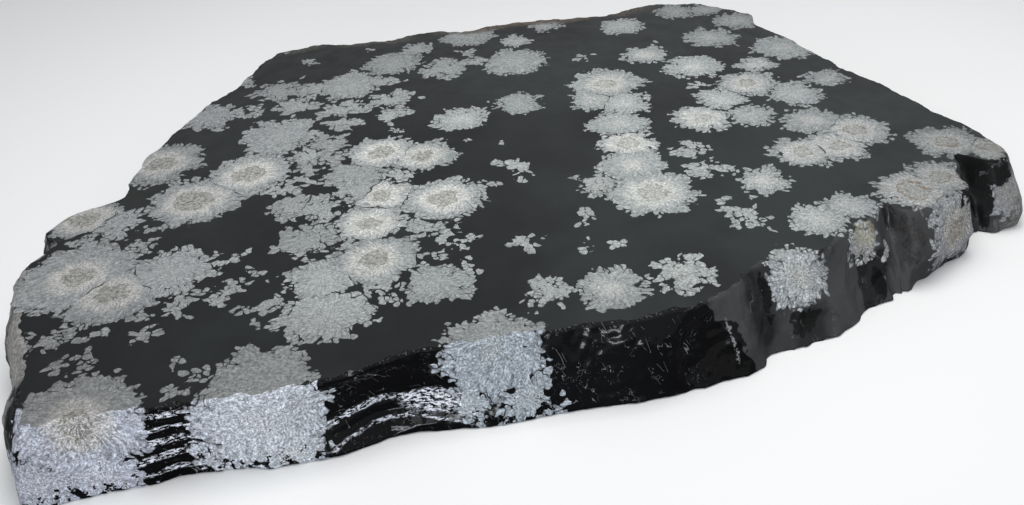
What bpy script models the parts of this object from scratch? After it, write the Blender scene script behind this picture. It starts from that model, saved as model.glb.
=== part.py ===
"""Snowflake obsidian slab, one solid stone.

A sawn slice: flat top and flat bottom, and a natural broken rim all round. The rim is made from the hand-measured
top outline, from how far the foot and the belly of the side stand outside it, and from the flake scars bitten into
it. Lengths are in millimetres here and are turned into metres at the end. Z is up and the sawn faces are level.
"""

import bpy
import numpy as np

MM = 0.001
NODE = "obsidian_slab"

THICKNESS = 9.5
"""Height of the slab between its two sawn faces."""
TOP_CHIPPING = 0.30
"""Mean width of the tiny chips that break the upper arris."""
FOOT_CHIPPING = 0.45
"""Mean width of the tiny chips that break the lower arris."""
CORNER_SOFTNESS = 0.55
"""How far along the rim a corner of the outline is blended."""
NORMAL_SOFTNESS = 4.5
"""How far along the rim the outward direction is blended."""
COLUMN_STEP = 1.6
"""Spacing of the vertical lines of the rim."""
WAVINESS = 0.20
"""Size of the uneven waves of the broken faces."""
SHORTEST_WAVE = 5.0
LONGEST_WAVE = 22.0
WAVE_COUNT = 26
SEED = 7

# Rim points, counter-clockwise from the front left corner: x, y, foot, belly.
# Foot is how far the lower edge stands outside the upper one. Belly is how far
# the side bulges (or hollows, if below zero) half way up.
RIM = (
    (-51.5, -50.5, 3.0, 0.5),
    (-47.5, -50.0, 0.8, 0.0),
    (-38.5, -48.8, 0.6, 0.0),
    (-32.5, -48.6, 0.4, 0.0),
    (-28.5, -48.4, 0.6, 0.0),
    (-22.5, -47.0, 0.7, 0.0),
    (-19.5, -46.0, 1.0, 0.0),
    (-16.5, -44.4, 1.5, 0.0),
    (-10.0, -42.7, 2.6, 0.0),
    (-5.0, -41.8, 2.9, 0.0),
    (0.5, -41.3, 2.9, 0.3),
    (6.0, -41.2, 2.5, 0.4),
    (13.0, -39.7, 2.9, 0.4),
    (17.5, -39.2, 3.0, 0.4),
    (21.0, -37.0, 4.0, 0.3),
    (23.0, -35.0, 4.8, 0.4),
    (24.5, -33.4, 5.0, 0.5),
    (28.0, -31.2, 5.4, 0.2),
    (32.0, -30.8, 4.6, 0.5),
    (34.5, -29.2, 4.2, 0.4),
    (37.0, -27.0, 4.6, 0.2),
    (39.0, -25.0, 5.6, 0.0),
    (41.8, -24.0, 4.8, 0.0),
    (43.8, -21.2, 6.0, -0.4),
    (46.0, -23.6, 2.6, 0.8),
    (49.5, -22.3, 1.4, 1.6),
    (53.0, -20.5, 0.6, 1.4),
    (55.5, -18.3, 0.6, 0.6),
    (55.6, -13.8, 3.2, -0.4),
    (57.6, -10.8, 5.2, -0.6),
    (60.3, -12.6, 3.2, 0.6),
    (62.8, -12.0, 2.0, 1.5),
    (63.8, -8.7, 2.2, 1.6),
    (62.8, -4.9, 2.2, 1.6),
    (62.0, -2.0, 2.0, 1.2),
    (60.5, 1.0, 1.6, 0.8),
    (57.0, 9.4, 1.6, 0.4),
    (54.5, 16.3, 2.4, 0.2),
    (51.2, 22.6, 1.2, -0.3),
    (49.9, 27.1, 1.8, 0.4),
    (46.9, 36.0, 2.8, 0.3),
    (43.6, 41.5, 1.8, -0.2),
    (44.1, 47.6, 0.8, 0.5),
    (37.3, 53.5, 1.2, 0.4),
    (35.9, 55.5, 1.0, 0.3),
    (26.6, 55.9, 1.4, 0.2),
    (20.7, 53.3, 2.4, -0.3),
    (12.4, 52.4, 3.0, 0.3),
    (2.6, 51.9, 1.6, 0.5),
    (-1.0, 51.1, 1.2, 0.2),
    (-13.5, 50.2, 2.6, -0.2),
    (-20.5, 48.1, 1.8, 0.3),
    (-34.2, 47.9, 1.2, 0.4),
    (-40.7, 45.9, 1.4, 0.2),
    (-43.5, 39.9, 2.0, -0.2),
    (-45.4, 31.6, 1.0, 0.4),
    (-49.3, 24.3, 1.6, 0.3),
    (-52.8, 12.0, 0.8, 0.5),
    (-55.0, 0.5, 1.0, 0.3),
    (-54.3, -4.7, 1.4, 0.2),
    (-56.7, -6.5, 1.8, 1.2),
    (-59.6, -8.4, 2.0, 1.5),
    (-62.1, -12.8, 1.6, 1.2),
    (-60.3, -16.0, 1.4, 0.8),
    (-61.2, -20.3, 1.4, 0.8),
    (-61.3, -24.0, 1.4, 0.9),
    (-59.4, -30.3, 2.0, 1.2),
    (-56.4, -35.9, 2.6, 1.4),
    (-54.9, -40.0, 2.8, 1.3),
    (-52.6, -47.5, 3.0, 1.3),
)

# Flake scars: x and y of the rim where the scar is centred, height of its centre,
# width, height and depth. A depth below zero is a lump.
SCARS = (
    (-31.5, -48.6, 4.6, 6.5, 15.0, 0.45),
    (-18.0, -45.6, 4.6, 21.0, 8.6, 1.75),
    (9.5, -40.8, 3.4, 10.0, 7.5, 0.45),
    (18.5, -39.0, 3.2, 8.5, 10.5, 1.25),
    (25.5, -33.0, 5.0, 9.5, 15.0, 1.05),
    (31.0, -31.0, 1.9, 5.5, 5.2, 1.10),
    (34.0, -29.5, 6.8, 7.0, 5.0, 0.60),
    (38.5, -26.0, 3.6, 8.5, 10.0, 1.05),
    (42.5, -23.0, 1.8, 3.6, 5.6, 1.30),
    (47.5, -23.0, 1.6, 5.0, 4.4, 0.70),
    (55.6, -15.0, 3.0, 5.0, 8.0, 0.90),
    (58.2, -11.2, 7.6, 5.5, 7.6, 1.40),
    (63.0, -11.0, 2.4, 7.0, 6.0, -0.70),
    (63.2, -5.0, 5.6, 7.5, 6.0, -0.55),
    (59.0, 4.5, 4.4, 11.0, 11.0, 1.00),
    (52.5, 20.0, 3.8, 13.0, 12.0, 1.20),
    (48.6, 31.0, 5.4, 9.0, 12.0, 0.90),
    (44.6, 40.5, 3.6, 8.0, 10.0, 1.10),
    (41.5, 50.0, 5.0, 10.0, 12.5, 0.85),
    (31.5, 55.7, 4.2, 9.5, 9.5, 0.95),
    (17.0, 52.8, 5.2, 12.0, 12.5, 1.20),
    (5.0, 52.0, 3.0, 8.0, 7.5, 0.80),
    (-7.5, 50.6, 5.0, 12.5, 12.5, 1.25),
    (-18.0, 49.0, 2.6, 7.0, 6.5, 0.85),
    (-28.0, 48.0, 5.2, 12.0, 12.0, 0.95),
    (-42.0, 43.0, 4.2, 10.0, 10.5, 1.10),
    (-46.5, 29.5, 5.2, 12.0, 12.5, 0.95),
    (-52.0, 15.0, 3.4, 10.5, 9.0, 1.05),
    (-54.9, 2.5, 5.2, 9.0, 11.5, 0.85),
    (-60.6, -10.0, 2.6, 7.0, 5.5, 0.60),
    (-60.6, -17.5, 5.0, 6.0, 9.0, 0.70),
    (-60.4, -27.0, 2.4, 7.0, 6.0, 0.70),
    (-55.6, -38.0, 6.6, 8.0, 6.0, 0.55),
    (-53.4, -44.5, 2.2, 6.5, 5.6, 0.60),
)

# Heights of the CAD's rows, as parts of the thickness.
ROW_PARTS = (0.0, 0.05, 0.14, 0.24, 0.34, 0.44, 0.54, 0.64, 0.74, 0.84, 0.92, 0.97, 1.0)


def blend_round(values: np.ndarray, reach: float) -> np.ndarray:
    """Blend a closed run of samples.

    Args:
        values: Samples along the rim, shape (n,) or (n, k).
        reach: Standard deviation of the blend, in samples.

    Returns:
        The blended samples, with the same shape.
    """
    turns = np.fft.fftfreq(values.shape[0])
    damp = np.exp(-2.0 * (np.pi * turns * reach) ** 2)
    if values.ndim > 1:
        damp = damp[:, None]
    return np.real(np.fft.ifft(np.fft.fft(values, axis=0) * damp, axis=0))


class Rim:
    """The slab's broken rim, known at evenly spaced stations along its upper edge."""

    FINE = 4096

    def __init__(self) -> None:
        points = np.array(RIM)
        closed = np.vstack([points, points[:1]])
        steps = np.hypot(*np.diff(closed[:, :2], axis=0).T)
        along = np.concatenate([[0.0], np.cumsum(steps)])
        self.length = float(along[-1])
        self.at = np.arange(self.FINE) * self.length / self.FINE
        sampled = np.stack([np.interp(self.at, along, closed[:, k]) for k in range(4)], axis=1)
        per_mm = self.FINE / self.length
        self.edge = blend_round(sampled[:, :2], CORNER_SOFTNESS * per_mm)
        self.foot = blend_round(sampled[:, 2], 1.2 * per_mm)
        self.belly = blend_round(sampled[:, 3], 2.0 * per_mm)
        soft = blend_round(sampled[:, :2], NORMAL_SOFTNESS * per_mm)
        run = np.roll(soft, -1, axis=0) - np.roll(soft, 1, axis=0)
        run /= np.linalg.norm(run, axis=1)[:, None]
        self.outward = np.stack([run[:, 1], -run[:, 0]], axis=1)
        draw = np.random.default_rng(SEED)
        low, high = self.length / LONGEST_WAVE, self.length / SHORTEST_WAVE
        self.turns = np.round(low * (high / low) ** draw.random(WAVE_COUNT))
        self.rise = draw.uniform(-0.55, 0.55, WAVE_COUNT)
        self.phase = draw.uniform(0.0, 2.0 * np.pi, WAVE_COUNT)
        self.size = 1.0 / self.turns
        self.size *= WAVINESS / np.sqrt(np.sum(self.size**2) / 2.0)

    def bites(self, at: np.ndarray, height: np.ndarray) -> np.ndarray:
        """Return how far the flake scars cut in at each point of the side.

        Each scar is a shallow bowl, deepest at its centre and ending in an arris. Where scars meet the deeper one
        stands. Lumps are added.
        """
        cut = np.zeros(np.broadcast(at, height).shape)
        lump = np.zeros_like(cut)
        for x, y, level, width, tall, depth in SCARS:
            nearest = np.argmin(np.hypot(self.edge[:, 0] - x, self.edge[:, 1] - y))
            aside = (at - self.at[nearest] + self.length / 2.0) % self.length - self.length / 2.0
            reach = (2.0 * aside / width) ** 2 + (2.0 * (height - level) / tall) ** 2
            bowl = abs(depth) * np.clip(1.0 - reach, 0.0, None)
            if depth > 0.0:
                cut = np.maximum(cut, bowl)
            else:
                lump = np.maximum(lump, bowl)
        return cut - lump

    def waves(self, at: np.ndarray, height: np.ndarray) -> np.ndarray:
        """Return the uneven waves of the break at each point of the side, above or below zero."""
        total = np.zeros(np.broadcast(at, height).shape)
        for turns, rise, phase, size in zip(self.turns, self.rise, self.phase, self.size):
            total += size * np.sin(2.0 * np.pi * turns * at / self.length + rise * height + phase)
        return total

    def side(self, at: np.ndarray, height: np.ndarray) -> np.ndarray:
        """Return points of the side.

        The offset outward is the foot's share, falling evenly to nothing at the top, plus the belly's bow, largest
        half way up, plus the waves, less the scars' bites.

        Args:
            at: Distance along the rim of each column, shape (1, n).
            height: Height of each row, shape (m, 1).

        Returns:
            The points, shape (m, n, 3).
        """
        place = at[0] % self.length
        round_at = np.append(self.at, self.length)

        def read(values: np.ndarray) -> np.ndarray:
            return np.interp(place, round_at, np.append(values, values[0]))

        part = height / THICKNESS
        offset = read(self.foot) * (1.0 - part)
        offset = offset + read(self.belly) * 4.0 * part * (1.0 - part)
        offset = offset + self.waves(at, height) - self.bites(at, height)
        x = read(self.edge[:, 0]) + read(self.outward[:, 0]) * offset
        y = read(self.edge[:, 1]) + read(self.outward[:, 1]) * offset
        z = np.broadcast_to(height, x.shape)
        return np.stack([x, y, z], axis=-1)


def chip_width(rim: Rim, at: np.ndarray, mean: float, level: float) -> np.ndarray:
    """Return the width of the chipped arris in each column: uneven, never under 40 percent of the mean."""
    rough = rim.waves(at * 3.0, np.array([[level]]))[0] / WAVINESS
    return mean * np.clip(1.0 + 0.6 * rough, 0.4, 2.2)


def slab_points() -> np.ndarray:
    """Return the slab's rings of points in millimetres, lowest ring first, shape (rings, columns, 3)."""
    rim = Rim()
    columns = int(round(rim.length / COLUMN_STEP))
    at = (np.arange(columns) * rim.length / columns)[None, :]
    low = chip_width(rim, at, FOOT_CHIPPING, 0.0)
    high = chip_width(rim, at, TOP_CHIPPING, THICKNESS)
    height = np.array(ROW_PARTS)[:, None] * THICKNESS
    rings = rim.side(at, height)
    outward = np.stack([np.interp(at[0], rim.at, rim.outward[:, k]) for k in range(2)], axis=1)
    rings[0, :, :2] -= outward * low[:, None]
    rings[-1, :, :2] -= outward * high[:, None]
    return rings


def stand_on_origin(rings: np.ndarray) -> np.ndarray:
    """Shift the points so that the middle of their box is over the origin and the lowest are at zero."""
    flat = rings.reshape(-1, 3)
    low, high = flat.min(axis=0), flat.max(axis=0)
    shift = np.array([(low[0] + high[0]) / 2.0, (low[1] + high[1]) / 2.0, low[2]])
    print("box centre before the shift (mm):", np.round(shift, 4), "size:", np.round(high - low, 3))
    return rings - shift


def slab_mesh(rings: np.ndarray) -> bpy.types.Mesh:
    """Return the closed mesh: quads round the side and one flat face each for the top and the bottom."""
    rows, columns, _ = rings.shape
    index = np.arange(rows * columns).reshape(rows, columns)
    after = np.roll(index, -1, axis=1)
    side = np.stack([index[:-1], after[:-1], after[1:], index[1:]], axis=-1).reshape(-1, 4)
    faces = side.tolist()
    faces.append(index[-1].tolist())
    faces.append(index[0, ::-1].tolist())
    mesh = bpy.data.meshes.new(NODE)
    mesh.from_pydata((rings.reshape(-1, 3) * MM).tolist(), [], faces)
    smooth = np.ones(len(faces), dtype=bool)
    smooth[-2:] = False
    mesh.polygons.foreach_set("use_smooth", smooth)
    mesh.update()
    return mesh


def obsidian_material() -> bpy.types.Material:
    """Return the plain look of the stone: dark volcanic glass."""
    material = bpy.data.materials.new("obsidian_glass")
    material.use_nodes = True
    shader = material.node_tree.nodes["Principled BSDF"]
    shader.inputs["Base Color"].default_value = (0.035, 0.038, 0.040, 1.0)
    shader.inputs["Roughness"].default_value = 0.28
    shader.inputs["Metallic"].default_value = 0.0
    return material


def main() -> None:
    """Build the slab as the scene's only object."""
    for thing in list(bpy.data.objects):
        bpy.data.objects.remove(thing, do_unlink=True)
    mesh = slab_mesh(stand_on_origin(slab_points()))
    mesh.materials.append(obsidian_material())
    slab = bpy.data.objects.new(NODE, mesh)
    bpy.context.scene.collection.objects.link(slab)
    print("triangles:", sum(len(face.vertices) - 2 for face in mesh.polygons))


main()
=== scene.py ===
"""Looks of the snowflake obsidian slab.

The slab is one stone: a sawn slice of dark volcanic glass with grey spherulites ("snowflakes") all through
it. The surface is worked out with numpy from the same rim as the CAD solid, much finer. The snowflakes are
spheres in the stone, cut by whatever surface is there, so the top, the underside and the broken rim all show
the same ones. Lengths are in millimetres until a mesh is written, which is in metres.
"""

import logging
import math
from dataclasses import dataclass
from enum import Enum
from typing import Union

import bpy
import numpy as np
from mathutils import Matrix, Vector
from mathutils.geometry import delaunay_2d_cdt


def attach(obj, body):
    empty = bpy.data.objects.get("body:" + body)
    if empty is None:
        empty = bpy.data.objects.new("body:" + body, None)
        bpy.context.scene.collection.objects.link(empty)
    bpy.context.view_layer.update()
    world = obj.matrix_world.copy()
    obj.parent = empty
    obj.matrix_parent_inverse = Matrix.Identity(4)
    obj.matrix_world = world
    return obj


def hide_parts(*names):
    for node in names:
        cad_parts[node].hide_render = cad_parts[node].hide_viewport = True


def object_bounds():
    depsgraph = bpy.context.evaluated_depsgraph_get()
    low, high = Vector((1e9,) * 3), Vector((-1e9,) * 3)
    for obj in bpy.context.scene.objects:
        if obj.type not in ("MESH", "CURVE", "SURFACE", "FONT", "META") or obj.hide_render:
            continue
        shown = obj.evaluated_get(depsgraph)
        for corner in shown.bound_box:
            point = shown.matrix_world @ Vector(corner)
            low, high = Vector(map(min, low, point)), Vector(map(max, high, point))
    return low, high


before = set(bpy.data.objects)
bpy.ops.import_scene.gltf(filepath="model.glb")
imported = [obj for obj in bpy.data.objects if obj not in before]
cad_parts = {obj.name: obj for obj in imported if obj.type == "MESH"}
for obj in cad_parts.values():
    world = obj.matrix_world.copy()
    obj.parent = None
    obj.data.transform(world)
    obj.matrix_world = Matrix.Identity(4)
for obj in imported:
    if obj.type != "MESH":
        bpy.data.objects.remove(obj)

LOG = logging.getLogger("obsidian")
MM = 0.001
CAD_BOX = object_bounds()
BOX_MIDDLE = (1.5386, 2.3959)
"""Middle of the rim's box in the rim's own millimetres, which the CAD puts over the origin."""

Socket = bpy.types.NodeSocket
Value = Union[Socket, float, tuple[float, ...]]
"""What a node's input takes: another node's output, or a plain value."""
Colour = tuple[float, float, float]
"""Linear RGB."""
Stops = tuple[tuple[float, Colour], ...]
"""Places in millimetres, rising, each with the colour there."""

# Rim points, counter-clockwise from the front left corner: x, y, foot, belly, in mm.
RIM = (
    (-51.5, -50.5, 3.0, 0.5),
    (-47.5, -50.0, 0.8, 0.0),
    (-38.5, -48.8, 0.6, 0.0),
    (-32.5, -48.6, 0.4, 0.0),
    (-28.5, -48.4, 0.6, 0.0),
    (-22.5, -47.0, 0.7, 0.0),
    (-19.5, -46.0, 1.0, 0.0),
    (-16.5, -44.4, 1.5, 0.0),
    (-10.0, -42.7, 2.6, 0.0),
    (-5.0, -41.8, 2.9, 0.0),
    (0.5, -41.3, 2.9, 0.3),
    (6.0, -41.2, 2.5, 0.4),
    (13.0, -39.7, 2.9, 0.4),
    (17.5, -39.2, 3.0, 0.4),
    (21.0, -37.0, 4.0, 0.3),
    (23.0, -35.0, 4.8, 0.4),
    (24.5, -33.4, 5.0, 0.5),
    (28.0, -31.2, 5.4, 0.2),
    (32.0, -30.8, 4.6, 0.5),
    (34.5, -29.2, 4.2, 0.4),
    (37.0, -27.0, 4.6, 0.2),
    (39.0, -25.0, 5.6, 0.0),
    (41.8, -24.0, 4.8, 0.0),
    (43.8, -21.2, 6.0, -0.4),
    (46.0, -23.6, 2.6, 0.8),
    (49.5, -22.3, 1.4, 1.6),
    (53.0, -20.5, 0.6, 1.4),
    (55.5, -18.3, 0.6, 0.6),
    (55.6, -13.8, 3.2, -0.4),
    (57.6, -10.8, 5.2, -0.6),
    (60.3, -12.6, 3.2, 0.6),
    (62.8, -12.0, 2.0, 1.5),
    (63.8, -8.7, 2.2, 1.6),
    (62.8, -4.9, 2.2, 1.6),
    (62.0, -2.0, 2.0, 1.2),
    (60.5, 1.0, 1.6, 0.8),
    (57.0, 9.4, 1.6, 0.4),
    (54.5, 16.3, 2.4, 0.2),
    (51.2, 22.6, 1.2, -0.3),
    (49.9, 27.1, 1.8, 0.4),
    (46.9, 36.0, 2.8, 0.3),
    (43.6, 41.5, 1.8, -0.2),
    (44.1, 47.6, 0.8, 0.5),
    (37.3, 53.5, 1.2, 0.4),
    (35.9, 55.5, 1.0, 0.3),
    (26.6, 55.9, 1.4, 0.2),
    (20.7, 53.3, 2.4, -0.3),
    (12.4, 52.4, 3.0, 0.3),
    (2.6, 51.9, 1.6, 0.5),
    (-1.0, 51.1, 1.2, 0.2),
    (-13.5, 50.2, 2.6, -0.2),
    (-20.5, 48.1, 1.8, 0.3),
    (-34.2, 47.9, 1.2, 0.4),
    (-40.7, 45.9, 1.4, 0.2),
    (-43.5, 39.9, 2.0, -0.2),
    (-45.4, 31.6, 1.0, 0.4),
    (-49.3, 24.3, 1.6, 0.3),
    (-52.8, 12.0, 0.8, 0.5),
    (-55.0, 0.5, 1.0, 0.3),
    (-54.3, -4.7, 1.4, 0.2),
    (-56.7, -6.5, 1.8, 1.2),
    (-59.6, -8.4, 2.0, 1.5),
    (-62.1, -12.8, 1.6, 1.2),
    (-60.3, -16.0, 1.4, 0.8),
    (-61.2, -20.3, 1.4, 0.8),
    (-61.3, -24.0, 1.4, 0.9),
    (-59.4, -30.3, 2.0, 1.2),
    (-56.4, -35.9, 2.6, 1.4),
    (-54.9, -40.0, 2.8, 1.3),
    (-52.6, -47.5, 3.0, 1.3),
)

# Flake scars: x and y of the rim where the scar is centred, height of its centre,
# width, height and depth, in mm. A depth below zero is a lump.
SCARS = (
    (-31.5, -48.6, 4.6, 6.5, 15.0, 0.45),
    (-18.0, -45.6, 4.6, 21.0, 8.6, 1.75),
    (9.5, -40.8, 3.4, 10.0, 7.5, 0.45),
    (18.5, -39.0, 3.2, 8.5, 10.5, 1.25),
    (25.5, -33.0, 5.0, 9.5, 15.0, 1.05),
    (31.0, -31.0, 1.9, 5.5, 5.2, 1.10),
    (34.0, -29.5, 6.8, 7.0, 5.0, 0.60),
    (38.5, -26.0, 3.6, 8.5, 10.0, 1.05),
    (42.5, -23.0, 1.8, 3.6, 5.6, 1.30),
    (47.5, -23.0, 1.6, 5.0, 4.4, 0.70),
    (55.6, -15.0, 3.0, 5.0, 8.0, 0.90),
    (58.2, -11.2, 7.6, 5.5, 7.6, 1.40),
    (63.0, -11.0, 2.4, 7.0, 6.0, -0.70),
    (63.2, -5.0, 5.6, 7.5, 6.0, -0.55),
    (59.0, 4.5, 4.4, 11.0, 11.0, 1.00),
    (52.5, 20.0, 3.8, 13.0, 12.0, 1.20),
    (48.6, 31.0, 5.4, 9.0, 12.0, 0.90),
    (44.6, 40.5, 3.6, 8.0, 10.0, 1.10),
    (41.5, 50.0, 5.0, 10.0, 12.5, 0.85),
    (31.5, 55.7, 4.2, 9.5, 9.5, 0.95),
    (17.0, 52.8, 5.2, 12.0, 12.5, 1.20),
    (5.0, 52.0, 3.0, 8.0, 7.5, 0.80),
    (-7.5, 50.6, 5.0, 12.5, 12.5, 1.25),
    (-18.0, 49.0, 2.6, 7.0, 6.5, 0.85),
    (-28.0, 48.0, 5.2, 12.0, 12.0, 0.95),
    (-42.0, 43.0, 4.2, 10.0, 10.5, 1.10),
    (-46.5, 29.5, 5.2, 12.0, 12.5, 0.95),
    (-52.0, 15.0, 3.4, 10.5, 9.0, 1.05),
    (-54.9, 2.5, 5.2, 9.0, 11.5, 0.85),
    (-60.6, -10.0, 2.6, 7.0, 5.5, 0.60),
    (-60.6, -17.5, 5.0, 6.0, 9.0, 0.70),
    (-60.4, -27.0, 2.4, 7.0, 6.0, 0.70),
    (-55.6, -38.0, 6.6, 8.0, 6.0, 0.55),
    (-53.4, -44.5, 2.2, 6.5, 5.6, 0.60),
)

# Sets of ripples in the broken glass: x and y of the rim point that the rings spread
# from, height of that point, wavelength, height of the ripples, reach along the rim,
# the radius of one ring's upper slope, how far beyond that ring the set goes, in mm,
# and how frosted the upper slopes are; that pale frost is partly a painted highlight.
RIPPLES = (
    (-15.8, -44.4, -21.0, 2.3, 0.16, 13.0, 25.1, 1.2, 1.0),
    (-38.3, -48.8, -21.0, 1.75, 0.11, 8.0, 20.85, 15.0, 0.9),
    (18.0, -39.0, 12.0, 1.5, 0.02, 9.0, 3.0, 9.0, 0.0),
    (24.0, -34.0, 13.0, 2.0, 0.02, 9.0, 5.0, 9.0, 0.0),
    (38.0, -26.0, 12.0, 1.8, 0.05, 8.0, 4.0, 9.0, 0.0),
    (8.0, -41.0, 11.0, 1.6, 0.04, 8.0, 4.0, 9.0, 0.0),
    (59.0, 4.5, 12.0, 1.9, 0.09, 10.0, 4.0, 9.0, 0.3),
    (51.5, 22.0, -3.0, 1.8, 0.10, 10.0, 6.0, 9.0, 0.2),
    (46.0, 38.0, 12.0, 1.7, 0.09, 9.0, 5.0, 9.0, 0.0),
    (33.0, 55.6, -2.5, 1.6, 0.10, 9.0, 6.0, 9.0, 0.3),
    (14.0, 52.6, 12.0, 2.1, 0.11, 10.0, 5.0, 9.0, 0.2),
    (-7.5, 50.6, -3.0, 1.9, 0.11, 10.0, 7.0, 9.0, 0.5),
    (-28.0, 48.0, 12.5, 2.0, 0.10, 10.0, 6.0, 9.0, 0.2),
    (-44.0, 38.0, -2.5, 1.7, 0.10, 10.0, 6.0, 9.0, 0.4),
    (-51.0, 18.0, 12.0, 2.1, 0.11, 10.0, 5.0, 9.0, 0.3),
)

# Patches of crushed glass between the ripples: x and y of the rim point and height of
# the middle, half width, half height, in mm, and share at the middle. They take the same pale frost, which
# is partly a painted highlight.
CRUSHED = (
    (-11.4, -43.0, 3.3, 5.0, 1.7, 1.0),
    (-8.4, -42.4, 2.6, 3.6, 1.5, 0.9),
)

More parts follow.
